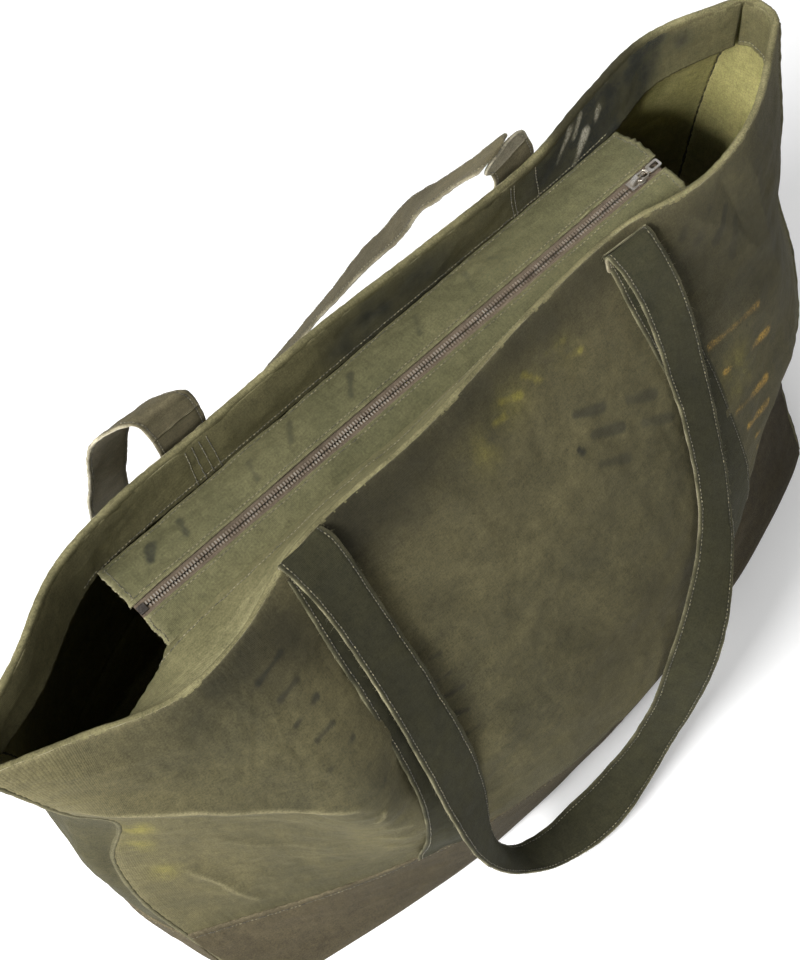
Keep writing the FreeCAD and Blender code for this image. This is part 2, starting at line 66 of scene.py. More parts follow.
# ------------------------------------------------- the bag's control nets
# millimetres; columns left to right (sides: front to back), levels base to rim
FRONT = [
 [(-304,-129,0),(-321,-78,75),(-328,-52,130),(-322,-38,190),(-303,-46,250),(-322,-46,318),(-336,-34,362),(-346,-24,392)],
 [(-283,-136,0),(-293,-92,75),(-293,-76,130),(-291,-62,195),(-288,-62,258),(-292,-78,318),(-291,-66,352),(-286,-47,388)],
 [(-228,-148,0),(-230,-124,75),(-232,-112,130),(-233,-103,195),(-232,-106,250),(-233,-124,292),(-230,-99,342),(-227,-69,385)],
 [(-170,-159,0),(-170,-150,75),(-170,-157,130),(-170,-163,190),(-172,-166,245),(-172,-146,300),(-172,-104,348),(-172,-67,387)],
 [(-100,-168,0),(-101,-172,75),(-101,-184,125),(-101,-172,190),(-101,-137,260),(-102,-104,315),(-102,-76,358),(-103,-51,399)],
 [(0,-168,0),(0,-183,75),(0,-196,122),(0,-174,190),(0,-136,260),(0,-100,315),(0,-70,362),(0,-50,402)],
 [(98,-162,0),(98,-170,75),(98,-183,122),(98,-166,190),(98,-130,260),(98,-96,315),(99,-62,362),(100,-38,402)],
 [(190,-150,0),(190,-136,75),(192,-149,125),(190,-142,190),(190,-114,260),(190,-84,315),(190,-55,362),(190,-34,402)],
 [(255,-132,0),(256,-102,75),(258,-110,125),(258,-116,190),(258,-97,260),(258,-77,315),(256,-60,362),(255,-47,402)],
 [(300,-116,0),(306,-76,75),(310,-84,125),(312,-90,190),(314,-74,260),(316,-58,315),(318,-46,362),(320,-34,402)],
 [(323,-105,0),(335,-64,75),(350,-66,130),(366,-42,190),(366,-20,255),(380,-8,310),(385,2,360),(388,8,402)],
]
BACK = [
 [(-310,118,0),(-324,84,75),(-330,64,130),(-330,50,190),(-326,36,255),(-330,18,315),(-338,4,362),(-342,-8,400)],
 [(-283,130,0),(-288,112,75),(-290,104,130),(-290,96,190),(-289,78,255),(-288,56,315),(-287,34,362),(-285,15,402)],
 [(-228,145,0),(-230,140,75),(-230,138,130),(-230,128,190),(-230,106,255),(-230,80,315),(-230,60,362),(-230,46,402)],
 [(-170,158,0),(-170,162,75),(-170,160,130),(-170,148,190),(-170,122,255),(-170,94,315),(-170,70,362),(-170,56,402)],
 [(-100,165,0),(-100,176,75),(-100,176,130),(-100,160,190),(-100,130,255),(-100,98,315),(-100,72,362),(-100,56,402)],
 [(0,168,0),(0,182,75),(0,182,130),(0,165,190),(0,134,255),(0,100,315),(0,74,362),(0,57,402)],
 [(100,165,0),(100,178,75),(100,178,130),(100,160,190),(100,128,255),(100,96,315),(100,70,362),(100,52,402)],
 [(190,155,0),(190,160,75),(190,160,130),(190,146,190),(190,118,255),(190,90,315),(190,66,362),(190,50,402)],
 [(255,142,0),(256,138,75),(257,136,130),(257,128,190),(257,108,255),(257,86,315),(256,70,362),(255,61,402)],
 [(300,122,0),(308,112,75),(313,110,130),(316,104,190),(318,92,255),(320,80,315),(320,72,362),(320,66,402)],
 [(323,108,0),(340,90,75),(355,84,130),(368,78,190),(378,72,255),(386,62,315),(389,50,362),(389,40,402)],
]
LEFT = [FRONT[0],
 [(-326,-62,0),(-334,-40,75),(-338,-28,130),(-337,-26,190),(-326,-18,250),(-326,-24,315),(-340,-26,362),(-350,-22,396)],
 [(-334,0,0),(-338,5,75),(-338,10,130),(-334,6,190),(-322,2,250),(-322,-8,315),(-338,-16,362),(-352,-16,398)],
 [(-328,60,0),(-334,48,75),(-336,38,130),(-334,28,190),(-324,18,250),(-325,4,315),(-338,-6,362),(-349,-12,400)],
 BACK[0]]
RIGHT = [FRONT[-1],
 [(343,-55,0),(350,-30,75),(364,-28,130),(374,-10,190),(376,8,255),(386,8,315),(390,12,362),(392,15,402)],
 [(352,0,0),(358,12,75),(368,14,130),(376,22,190),(378,28,255),(387,26,315),(391,26,362),(393,24,402)],
 [(345,58,0),(352,52,75),(364,52,130),(374,52,190),(380,50,255),(387,44,315),(391,38,362),(392,33,402)],
 BACK[-1]]

FACE_F = [(-334,-26,352),(-286,-44,346),(-228,-46,352),(-190,-32,364),(-103,-31,365),(0,-31,365),
          (100,-31,365),(190,-30.5,365),(262,-32,363),(318,-30,360),(380,9,360)]
FACE_B = [(-333,-8,360),(-284,8,360),(-230,38,361),(-190,47,361),(-100,47,361),(0,47,361),
          (100,47,361),(190,46,361),(262,47,361),(318,56,360),(382,38,360)]

FACE_L = [(-329,-26,352),(-331,-22,356),(-332,-17,358),(-331,-12,359),(-328,-8,360)]
FACE_R = [(380,9,360),(384,15,360),(386,24,360),(386,31,360),(382,38,360)]
HANDLE_F = [
 ((-128,-57,401),(-90,-55,402)), ((-126,-65,393),(-87,-62,394)), ((-124,-80.2,377),(-87,-77.2,372)),
 ((-123,-94.2,357),(-88,-92.2,348)), ((-124,-112.2,330),(-88,-108.2,322)), ((-127,-139.2,291),(-89,-132.2,288)),
 ((-131,-165,246),(-91,-155,250)), ((-134,-182,205),(-93,-169,214)), ((-135,-197,166),(-98,-180,178)),
 ((-131,-205,122),(-105,-187,148)), ((-121,-209,80),(-109,-189,112)), ((-105,-214,44),(-106,-190,74)),
 ((-83,-221,20),(-94,-193,44)), ((-60,-226,11),(-67,-196,30)), ((-38,-230,11),(-41,-195,27)),
 ((-13,-231,17),(-17,-197,34)), ((18,-226,28),(10,-199,52)), ((48,-221,48),(33,-201,77)),
 ((70,-221,76),(51,-200,104)), ((86,-221.8,110),(70,-194.8,134)), ((104,-217.6,137),(94,-185.6,160)),
 ((126,-204.4,155),(116,-174.4,180)), ((147,-186.4,169),(131,-165.4,197)), ((163,-170.4,184),(143,-155.4,214)),
 ((175,-155.4,204),(152,-143.4,235)), ((184,-141.4,229),(159,-130.4,259)), ((193,-123.4,260),(166,-113.4,286)),
 ((201,-105.4,293),(170,-97.4,313)), ((206,-90.4,325),(174,-82.4,340)), ((208,-77,354),(175,-69,365)),
 ((208,-62.6,380),(173,-55.6,388)), ((206,-49.2,400),(169,-47.2,402)),
]
HANDLE_B = [
 ((-134,70,433),(-95,66,434)), ((-143,80,428),(-104,74,430)), ((-151,89.5,416),(-112,84.5,419)),
 ((-158,99.5,400),(-119,95.5,403)), ((-162,109,378),(-123,108,381)), ((-164,121.7,345),(-125,123.7,348)),
 ((-167,139.7,295),(-128,143.7,296)), ((-170,165.7,235),(-131,166.7,238)), ((-170,189.7,175),(-132,183.7,182)),
 ((-165,212.7,122),(-131,194.7,134)), ((-150,227.7,78),(-124,200.7,98)), ((-125,233.7,54),(-110,202.7,78)),
 ((-98,231.7,60),(-93,200.7,86)), ((-74,222.7,86),(-76,193.7,112)), ((-52,210.7,118),(-58,183.7,146)),
 ((-28,196.7,154),(-38,171.7,184)), ((2,182.7,192),(-10,157.7,220)), ((36,167.7,230),(23,143.7,258)),
 ((70,152.7,270),(56,127.7,297)), ((101,143.7,300),(85,115.7,323)), ((116,134.7,319),(103,104.7,341)),
 ((128,126.7,337),(112,96.7,359)), ((139,116.7,354),(121,89.7,377)), ((149,102,372),(128,78,394)),
 ((158,89.5,388),(135,69.5,407)), ((168,79.5,401),(141,62.5,416)), ((178,70,416),(147,57,422)),
 ((187,62,427),(151,54,425)),
]
# rise of the back straps from the rim to where they fold over
RISE_BL = [((-130,61.5,402),(-91,62,402)),((-130,64,414),(-91,63.5,415)),((-131,68.5,425),(-92,66.5,427))]
RISE_BR = [((162,55.5,401),(201,59,401)),((160,55.5,411),(199,60.5,412)),((155,56,419),(194,62.5,421))]


# ------------------------------------------------------------- numerics
def arr(L):
    return np.array(L, float)


FRONT, BACK, LEFT, RIGHT = arr(FRONT), arr(BACK), arr(LEFT), arr(RIGHT)
FACE_F, FACE_B, FACE_L, FACE_R = arr(FACE_F), arr(FACE_B), arr(FACE_L), arr(FACE_R)
HANDLE_F, HANDLE_B = arr(HANDLE_F), arr(HANDLE_B)
RISE_BL, RISE_BR = arr(RISE_BL), arr(RISE_BR)


def cr(P, t):
    """smooth interpolation through the rows of P"""
    P = np.asarray(P, float)
    t = np.asarray(t, float)
    n = len(P)
    i = np.clip(np.floor(t).astype(int), 0, n - 2)
    f = (t - i).reshape((-1,) + (1,) * (P.ndim - 1))
    T = np.empty_like(P)
    T[0] = P[1] - P[0]
    T[-1] = P[-1] - P[-2]
    if n > 2:
        T[1:-1] = (P[2:] - P[:-2]) / 2
    return (2*f**3 - 3*f*f + 1) * P[i] + (f**3 - 2*f*f + f) * T[i] + (-2*f**3 + 3*f*f) * P[i+1] + (f**3 - f*f) * T[i+1]


def grid(G, U, Vv):
    A = cr(G.transpose(1, 0, 2), Vv)
    return cr(A.transpose(1, 0, 2), U)


def at(G, u, v):
    u, v = np.atleast_1d(np.asarray(u, float)), np.atleast_1d(np.asarray(v, float))
    wu = cr(np.eye(G.shape[0]), u)
    wv = cr(np.eye(G.shape[1]), v)
    return np.einsum("ki,kj,ijc->kc", wu, wv, G)


def unit(a):
    return a / np.maximum(np.linalg.norm(a, axis=-1, keepdims=True), 1e-12)


def grid_normals(P, sign=1.0):
    a = np.gradient(P, axis=0)
    b = np.gradient(P, axis=1)
    return unit(np.cross(a, b)) * sign


def sstep(a, b, x):
    t = np.clip((np.asarray(x, float) - a) / (b - a), 0, 1)
    return t * t * (3 - 2 * t)


def fnoise(x, y, seed, size, n=26, spread=0.5):
    """smooth random field, about -1..1, with features about size across"""
    r = np.random.RandomState(seed)
    out = np.zeros(np.broadcast(x, y).shape)
    for k in range(n):
        a = r.uniform(0, 2 * math.pi)
        f = 2 * math.pi / size * (1 + spread * r.uniform(-1, 1))
        out = out + np.cos(f * (x * math.cos(a) + y * math.sin(a)) + r.uniform(0, 2 * math.pi))
    return out / math.sqrt(n) / 1.1


def anoise(x, y, seed, sx, sy, n=26):
    return fnoise(x / sx, y / sy, seed, 1.0, n)


def seg_dist(P, a, b):
    a, b = np.asarray(a, float), np.asarray(b, float)
    d = b - a
    t = np.clip(((P - a) @ d) / max(d @ d, 1e-9), 0, 1)
    return np.linalg.norm(P - (a + t[..., None] * d), axis=-1), t


def line_dist(P, pts):
    best, along, tot = None, None, 0.0
    L = [np.linalg.norm(np.asarray(pts[k+1], float) - np.asarray(pts[k], float)) for k in range(len(pts) - 1)]
    S = sum(L)
    for k in range(len(pts) - 1):
        d, t = seg_dist(P, pts[k], pts[k+1])
        f = (tot + t * L[k]) / S
        if best is None:
            best, along = d, f
        else:
            along = np.where(d < best, f, along)
            best = np.minimum(best, d)
        tot += L[k]
    return best, along


def resample(P, step):
    P = np.asarray(P, float)
    d = np.r_[0, np.cumsum(np.linalg.norm(np.diff(P, axis=0), axis=1))]
    n = max(2, int(round(d[-1] / step)) + 1)
    s = np.linspace(0, d[-1], n)
    return np.stack([np.interp(s, d, P[:, k]) for k in range(P.shape[1])], 1)


# --------------------------------------------------------- mesh building
# wear lightens and dark darkens the colour; besides real wear and the black patch they also carry painted highlight and
# painted shade
ATTRS = ("wear", "ink", "ochre", "stain", "dark")


class Build:
    """gathers grids and small pieces into one mesh with shading attributes"""

    def __init__(self):
        self.v, self.f, self.m, self.a, self.fab, self.n = [], [], [], {k: [] for k in ATTRS}, [], 0

    def verts(self, P, fab, **kw):
        P = np.asarray(P, float).reshape(-1, 3)
        base = self.n
        self.v.append(P)
        self.fab.append(np.asarray(fab, float).reshape(-1, 3))
        for k in ATTRS:
            x = kw.get(k, 0.0)
            self.a[k].append(np.broadcast_to(np.asarray(x, float).reshape(-1) if np.ndim(x) else x, (len(P),)).copy())
        self.n += len(P)
        return base

    def faces(self, F, mat):
        F = np.asarray(F, int)
        self.f.append(F)
        self.m.append(np.full(len(F), mat, int))

    def quads(self, idx, mat, wrap_u=False, wrap_v=False, flip=False):
        a = idx
        if wrap_u:
            a = np.concatenate([a, a[:1]], 0)
        if wrap_v:
            a = np.concatenate([a, a[:, :1]], 1)
        q = np.stack([a[:-1, :-1], a[1:, :-1], a[1:, 1:], a[:-1, 1:]], -1).reshape(-1, 4)
        if flip:
            q = q[:, ::-1]
        self.faces(q, mat)

    def shell(self, P, N, thick, fab, mats=(0, 1, 2), flip=False, **kw):
        """closed sheet: outer grid P, inner grid P - N*thick"""
        nu, nv = P.shape[:2]
        b0 = self.verts(P, fab, **kw)
        ki = {k: (np.asarray(x) * (0.25 if k in ("ink", "ochre") else 1.0)) for k, x in kw.items()}
        fi = fab.copy()
        fi[..., 2] += 1.0
        b1 = self.verts(P - N * (thick if np.ndim(thick) == 0 else thick[..., None]), fi, **ki)
        i0 = b0 + np.arange(nu * nv).reshape(nu, nv)
        i1 = b1 + np.arange(nu * nv).reshape(nu, nv)
        self.quads(i0, mats[0], flip=flip)
        self.quads(i1, mats[1], flip=not flip)
        ring0 = np.concatenate([i0[:, 0], i0[-1, 1:], i0[-2::-1, -1], i0[0, -2:0:-1]])
        ring1 = np.concatenate([i1[:, 0], i1[-1, 1:], i1[-2::-1, -1], i1[0, -2:0:-1]])
        q = np.stack([ring0, ring1, np.roll(ring1, -1), np.roll(ring0, -1)], -1)
        if flip:
            q = q[:, ::-1]
        self.faces(q, mats[2])

    def tube(self, rings, fab, mat=0, closed=False, **kw):
        """rings: (m, k, 3) cross-sections; capped unless closed"""
        mm, k = rings.shape[:2]
        b = self.verts(rings, fab, **kw)
        idx = b + np.arange(mm * k).reshape(mm, k)
        self.quads(idx, mat, wrap_u=closed, wrap_v=True, flip=True)
        if not closed:
            self.f.append([list(idx[0])])
            self.m.append(np.array([mat]))
            self.f.append([list(idx[-1][::-1])])
            self.m.append(np.array([mat]))

    def stitches(self, line, normal, mat, length=2.1, gap=1.0, r=0.36, seed=1, lift=0.08, skip=0.0, tone=0.5, hole_shade=True):
        """a row of sewing-thread stitches along a line, each dipping into the cloth at its ends"""
        rs = np.random.RandomState(seed)
        L = np.asarray(line, float)
        Nn = np.broadcast_to(np.asarray(normal, float), L.shape)
        d = np.r_[0, np.cumsum(np.linalg.norm(np.diff(L, axis=0), axis=1))]
        pitch = length + gap
        n = int(d[-1] / pitch)
        if n < 1:
            return
        s0 = (np.arange(n) + 0.5) * (d[-1] / n)
        keep = rs.rand(n) >= skip
        h0 = s0 + 0.5 * (d[-1] / n)
        s0 = s0[keep]
        n = len(s0)
        prof_s = np.array([-0.5, -0.36, 0.0, 0.36, 0.5])
        prof_r = np.array([0.45, 0.9, 1.0, 0.9, 0.45])
        prof_h = np.array([-0.28, 0.05, 0.18, 0.05, -0.28])
        S = s0[:, None] + prof_s[None] * (length * (1 + 0.08 * rs.randn(n)))[:, None]
        C = np.stack([np.interp(S, d, L[:, k]) for k in range(3)], -1)
        NN = unit(np.stack([np.interp(S, d, Nn[:, k]) for k in range(3)], -1))
        T = unit(np.gradient(C, axis=1))
        B = unit(np.cross(T, NN))
        C = C + NN * (prof_h + lift)[None, :, None] + B * (0.1 * rs.randn(n))[:, None, None]
        ang = np.arange(6) / 6 * 2 * math.pi
        ring = C[:, :, None, :] + (B[:, :, None, :] * np.cos(ang)[None, None, :, None] + NN[:, :, None, :] * np.sin(ang)[None, None, :, None]) * (prof_r * r)[None, :, None, None]
        fab = np.zeros(ring.shape)
        fab[..., 0] = S[:, :, None]
        wear = np.clip(tone + 0.28 * rs.randn(n), 0, 1)[:, None, None] * np.ones((1, 5, 6))
        # the thread ends are painted darker where they dip into the cloth: painted shade
        dark = (np.array([1.0, 0.35, 0.0, 0.35, 1.0]))[None, :, None] * np.ones((n, 1, 6))
        b = self.verts(ring, fab, wear=wear.ravel(), dark=dark.ravel())
        idx = b + np.arange(n * 30).reshape(n, 5, 6)
        a = np.concatenate([idx, idx[:, :, :1]], 2)
        q = np.stack([a[:, :-1, :-1], a[:, :-1, 1:], a[:, 1:, 1:], a[:, 1:, :-1]], -1).reshape(-1, 4)
        self.faces(q, mat)
        self.f.append(idx[:, 0, :].tolist())
        self.m.append(np.full(n, mat))
        self.f.append(idx[:, -1, ::-1].tolist())
        self.m.append(np.full(n, mat))
        # dark cones at the needle holes between stitches: painted shade in the holes
        if hole_shade:
            n = len(h0)
            C = np.stack([np.interp(h0, d, L[:, k]) for k in range(3)], -1)
            NN = unit(np.stack([np.interp(h0, d, Nn[:, k]) for k in range(3)], -1))
            T = unit(np.stack([np.interp(h0, d, np.gradient(L, axis=0)[:, k]) for k in range(3)], -1))
            B = unit(np.cross(T, NN))
            rad = (0.50 + 0.10 * rs.randn(n))[:, None, None]
            ring = C[:, None] + (B[:, None] * np.cos(ang)[None, :, None] + T[:, None] * np.sin(ang)[None, :, None]) * rad
            pts = np.concatenate([ring, (C + NN * 0.13)[:, None], (C - NN * 0.5)[:, None]], 1)
            b = self.verts(pts, np.zeros(pts.shape), wear=0.0, dark=1.0)
            idx = b + np.arange(n * 8).reshape(n, 8)
            for k in range(6):
                j = (k + 1) % 6
                self.faces(np.stack([idx[:, k], idx[:, 6], idx[:, j]], -1), mat)
                self.faces(np.stack([idx[:, k], idx[:, j], idx[:, 7]], -1), mat)

    def fibres(self, line, outward, normal, mat, count, length=1.6, r=0.07, seed=3):
        """loose thread ends standing off a worn edge"""
        rs = np.random.RandomState(seed)
        L = np.asarray(line, float)
        d = np.r_[0, np.cumsum(np.linalg.norm(np.diff(L, axis=0), axis=1))]
        s = rs.uniform(0, d[-1], count)
        pick = lambda A: np.stack([np.interp(s, d, A[:, k]) for k in range(3)], -1)
        C = pick(L)
        O = unit(pick(np.broadcast_to(outward, L.shape)))
        Nn = unit(pick(np.broadcast_to(normal, L.shape)))
        T = unit(np.cross(O, Nn))
        ln = length * rs.gamma(2.0, 0.5, count)
        bend = rs.uniform(-1, 1, (count, 1)) * T + rs.uniform(-0.6, 0.9, (count, 1)) * Nn
        q = np.linspace(0, 1, 4)
        path = C[:, None, :] + (O[:, None, :] * q[None, :, None] + bend[:, None, :] * (q ** 2)[None, :, None] * 0.9) * ln[:, None, None]
        path = path + Nn[:, None, :] * rs.uniform(-0.7, 0.7, (count, 1, 1))
        Tn = unit(np.gradient(path, axis=1))
        A = unit(np.cross(Tn, T[:, None, :] + 0.3 * Nn[:, None, :]))
        Bq = np.cross(Tn, A)
        ang = np.arange(3) / 3 * 2 * math.pi
        rad = np.array([1.0, 0.9, 0.7, 0.35]) * r
        ring = path[:, :, None, :] + (A[:, :, None, :] * np.cos(ang)[None, None, :, None] + Bq[:, :, None, :] * np.sin(ang)[None, None, :, None]) * rad[None, :, None, None]
        fab = np.zeros(ring.shape)
        b = self.verts(ring, fab, wear=0.9)
        idx = b + np.arange(count * 12).reshape(count, 4, 3)
        a = np.concatenate([idx, idx[:, :, :1]], 2)
        qd = np.stack([a[:, :-1, :-1], a[:, :-1, 1:], a[:, 1:, 1:], a[:, 1:, :-1]], -1).reshape(-1, 4)
        self.faces(qd, mat)
        self.f.append(idx[:, 0, :].tolist())
        self.m.append(np.full(count, mat))
        self.f.append(idx[:, -1, ::-1].tolist())
        self.m.append(np.full(count, mat))

    def done(self, name, materials, body=None, slot=None, replaces=(), smooth=True):
        V = np.concatenate(self.v, 0).copy()
        V[:, 0] -= X0
        V *= MM
        faces = []
        for F in self.f:
            faces.extend(F.tolist() if isinstance(F, np.ndarray) else F)
        me = bpy.data.meshes.new(name)
        me.from_pydata(V.tolist(), [], faces)
        me.polygons.foreach_set("material_index", np.concatenate(self.m).astype(np.int32))
        me.polygons.foreach_set("use_smooth", np.full(len(me.polygons), smooth))
        for k in ATTRS:
            at_ = me.attributes.new(k, "FLOAT", "POINT")
            at_.data.foreach_set("value", np.concatenate(self.a[k]).astype(np.float32))
        fa = me.attributes.new("fab", "FLOAT_VECTOR", "POINT")
        fa.data.foreach_set("vector", (np.concatenate(self.fab, 0) * MM).astype(np.float32).ravel())
        ra = me.attributes.new("rest", "FLOAT_VECTOR", "POINT")
        ra.data.foreach_set("vector", V.astype(np.float32).ravel())
        for mt in materials:
            me.materials.append(mt)
        me.validate()
        me.update()
        o = bpy.data.objects.new(name, me)
        bpy.context.scene.collection.objects.link(o)
        if body:
            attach(o, body)
        if replaces:
            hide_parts(*replaces)
        return o


# ------------------------------------------------------------- materials
class Nodes:
    def __init__(self, name):
        self.m = bpy.data.materials.new(name)
        self.m.use_nodes = True
        self.t = self.m.node_tree
        self.t.nodes.clear()
        self.out = self.t.nodes.new("ShaderNodeOutputMaterial")
        self.b = self.t.nodes.new("ShaderNodeBsdfPrincipled")
        self.t.links.new(self.b.outputs["BSDF"], self.out.inputs["Surface"])

    def _in(self, sock, v):
        if hasattr(v, "is_output"):
            self.t.links.new(v, sock)
        elif v is not None:
            sock.default_value = v

    def math(self, op, a, b=None, c=None, clamp=False):
        n = self.t.nodes.new("ShaderNodeMath")
        n.operation = op
        n.use_clamp = clamp
        for k, v in enumerate((a, b, c)):
            if v is not None:
                self._in(n.inputs[k], v)
        return n.outputs[0]

    def attr(self, name, vec=False):
        n = self.t.nodes.new("ShaderNodeAttribute")
        n.attribute_name = name
        return n.outputs["Vector"] if vec else n.outputs["Fac"]

    def scale(self, vec, s):
        n = self.t.nodes.new("ShaderNodeVectorMath")
        n.operation = "MULTIPLY"
        self._in(n.inputs[0], vec)
        n.inputs[1].default_value = s if hasattr(s, "__len__") else (s, s, s)
        return n.outputs[0]

    def vadd(self, a, b):
        n = self.t.nodes.new("ShaderNodeVectorMath")
        n.operation = "ADD"
        self._in(n.inputs[0], a)
        self._in(n.inputs[1], b)
        return n.outputs[0]

    def noise(self, vec, scale, detail=4.0, rough=0.55, dist=0.0):
        n = self.t.nodes.new("ShaderNodeTexNoise")
        self._in(n.inputs["Vector"], vec)
        n.inputs["Scale"].default_value = scale
        n.inputs["Detail"].default_value = detail
        n.inputs["Roughness"].default_value = rough
        n.inputs["Distortion"].default_value = dist
        return n.outputs["Fac"] if "Fac" in n.outputs else n.outputs[0]

    def ramp(self, fac, a, b, lo=0.0, hi=1.0):
        n = self.t.nodes.new("ShaderNodeMapRange")
        n.interpolation_type = "SMOOTHSTEP"
        self._in(n.inputs["Value"], fac)
        n.inputs["From Min"].default_value = a
        n.inputs["From Max"].default_value = b
        n.inputs["To Min"].default_value = lo
        n.inputs["To Max"].default_value = hi
        return n.outputs[0]

    def mix(self, fac, a, b, kind="MIX"):
        n = self.t.nodes.new("ShaderNodeMix")
        n.data_type = "RGBA"
        n.blend_type = kind
        n.clamp_factor = True
        self._in(n.inputs[0], fac)
        for k, v in ((6, a), (7, b)):
            if hasattr(v, "is_output"):
                self.t.links.new(v, n.inputs[k])
            else:
                n.inputs[k].default_value = tuple(v) + ((1.0,) if len(v) == 3 else ())
        return n.outputs[2]

    def sep(self, vec):
        n = self.t.nodes.new("ShaderNodeSeparateXYZ")
        self._in(n.inputs[0], vec)
        return n.outputs

    def bump(self, height, distance, strength=1.0, normal=None):
        n = self.t.nodes.new("ShaderNodeBump")
        n.inputs["Distance"].default_value = distance
        n.inputs["Strength"].default_value = strength
        self._in(n.inputs["Height"], height)
        if normal is not None:
            self._in(n.inputs["Normal"], normal)
        return n.outputs[0]


def weave(N, fab, pitch):
    """plain weave height: warp over weft over warp, 0 in the gaps and 1 on a thread's crown"""
    jig = N.noise(fab, 90.0, 2.0)
    jig2 = N.math("MULTIPLY", N.math("SUBTRACT", jig, 0.5), 1.2)
    x, y, _ = N.sep(fab)
    a = N.math("ADD", N.math("MULTIPLY", x, math.pi / pitch), jig2)
    b = N.math("ADD", N.math("MULTIPLY", y, math.pi / pitch), jig2)
    sa, sb = N.math("SINE", a), N.math("SINE", b)
    sign = N.math("GREATER_THAN", N.math("MULTIPLY", sa, sb), 0.0)
    wa, wb = N.math("ABSOLUTE", sa), N.math("ABSOLUTE", sb)
    over = N.math("MULTIPLY", N.math("POWER", wa, 0.6), N.math("ADD", N.math("MULTIPLY", wb, 0.55), 0.45))
    under = N.math("MULTIPLY", N.math("POWER", wb, 0.6), N.math("ADD", N.math("MULTIPLY", wa, 0.55), 0.45))
    n = N.t.nodes.new("ShaderNodeMix")
    n.data_type = "FLOAT"
    N._in(n.inputs[0], sign)
    N._in(n.inputs[2], over)
    N._in(n.inputs[3], under)
    return n.outputs[0]


def canvas(name, base, dark, light, pitch=0.00085, blotch=(0.28, 0.74), mottle=0.34, fleck=1.5, worn=0.85,
           rough=0.9, sheen=0.16, edge=None, ink=(0.012, 0.014, 0.013), ochre=(0.30, 0.19, 0.045), stain=(0.25, 0.23, 0.07), bumpd=0.00022, seed=0.0):
    N = Nodes(name)
    fab, rest = N.attr("fab", True), N.attr("rest", True)
    off = N.vadd(rest, (seed * 3.1, seed * 1.7, seed * 2.3))
    big = N.noise(off, 5.5, 5.0, 0.6, 0.3)
    mid = N.noise(off, 38.0, 5.0, 0.62, 0.2)
    fine = N.noise(off, 760.0, 3.0, 0.7)
    grit = N.noise(off, 170.0, 3.0, 0.6)
    thread = N.noise(N.scale(fab, (60.0, 900.0, 60.0)), 1.0, 2.0, 0.5)
    thread2 = N.noise(N.scale(fab, (900.0, 60.0, 60.0)), 1.0, 2.0, 0.5)
    rub = N.noise(N.scale(fab, (22.0, 75.0, 22.0)), 1.0, 4.0, 0.6, 0.6)
    col = N.mix(N.ramp(big, blotch[0], blotch[1]), dark, base)
    col = N.mix(N.math("MULTIPLY", N.ramp(mid, 0.38, 0.78), mottle), col, light)
    col = N.mix(N.math("MULTIPLY", N.ramp(rub, 0.56, 0.74), 0.16), col, light)
    col = N.mix(N.math("MULTIPLY", N.ramp(rub, 0.44, 0.28), 0.16), col, dark)
    col = N.mix(N.math("MULTIPLY", N.attr("stain"), N.ramp(mid, 0.30, 0.62)), col, stain)
    # wear lightens the colour: real wear on edges and folds, plus painted highlight on crease ridges and on the straps'
    # left edges
    wear_and_highlight = N.attr("wear")
    wf = N.math("MULTIPLY", N.math("MULTIPLY", wear_and_highlight, N.ramp(N.math("ADD", mid, N.math("MULTIPLY", fine, 0.35)), 0.42, 0.78, 0.35, 1.0)), worn)
    lighter = edge or tuple(min(1.0, c * 1.6 + 0.02) for c in light)
    col = N.mix(wf, col, lighter)
    ik = N.attr("ink")
    ikf = N.math("MULTIPLY", ik, N.ramp(N.math("ADD", N.math("MULTIPLY", fine, 0.5), N.math("MULTIPLY", mid, 0.6)), 0.42, 0.62, 0.55, 1.0), clamp=True)
    col = N.mix(ikf, col, ink)
    oc = N.attr("ochre")
    ocf = N.math("MULTIPLY", oc, N.ramp(N.math("ADD", N.math("MULTIPLY", fine, 0.55), N.math("MULTIPLY", mid, 0.6)), 0.50, 0.66, 0.25, 1.0), clamp=True)
    col = N.mix(ocf, col, ochre)
    # dark darkens the colour: painted shade in most places, plus the real black patch on the back rim
    col = N.mix(N.math("MULTIPLY", N.attr("dark"), 0.88), col, tuple(c * 0.24 for c in dark))
    w = weave(N, fab, pitch)
    fibre = N.math("MULTIPLY", N.math("ADD", thread, thread2), 0.5)
    val = N.math("ADD", N.math("MULTIPLY", N.ramp(fibre, 0.35, 0.65), 0.17), N.math("MULTIPLY", N.ramp(w, 0.05, 0.75), 0.34))
    val = N.math("ADD", val, N.math("MULTIPLY", fine, fleck))
    val = N.math("ADD", val, N.math("MULTIPLY", grit, 0.70))
    val = N.math("ADD", val, 0.37 - fleck * 0.5)
    vm = N.t.nodes.new("ShaderNodeVectorMath")
    vm.operation = "SCALE"
    N.t.links.new(col, vm.inputs[0])
    N.t.links.new(val, vm.inputs["Scale"])
    N.t.links.new(vm.outputs[0], N.b.inputs["Base Color"])
    N.t.links.new(N.ramp(mid, 0.3, 0.7, rough - 0.08, min(1.0, rough + 0.08)), N.b.inputs["Roughness"])
    N.b.inputs["Specular IOR Level"].default_value = 0.22
    N.b.inputs["Sheen Weight"].default_value = sheen
    N.b.inputs["Sheen Roughness"].default_value = 0.45
    N.b.inputs["Sheen Tint"].default_value = tuple(min(1, c * 2.2) for c in light) + (1.0,)
    slub = N.bump(fibre, bumpd * 1.1, 0.8)
    nb = N.bump(w, bumpd, 1.0, slub)
    nb2 = N.bump(mid, 0.0016, 0.7, nb)
    N.t.links.new(nb2, N.b.inputs["Normal"])
    return N.m


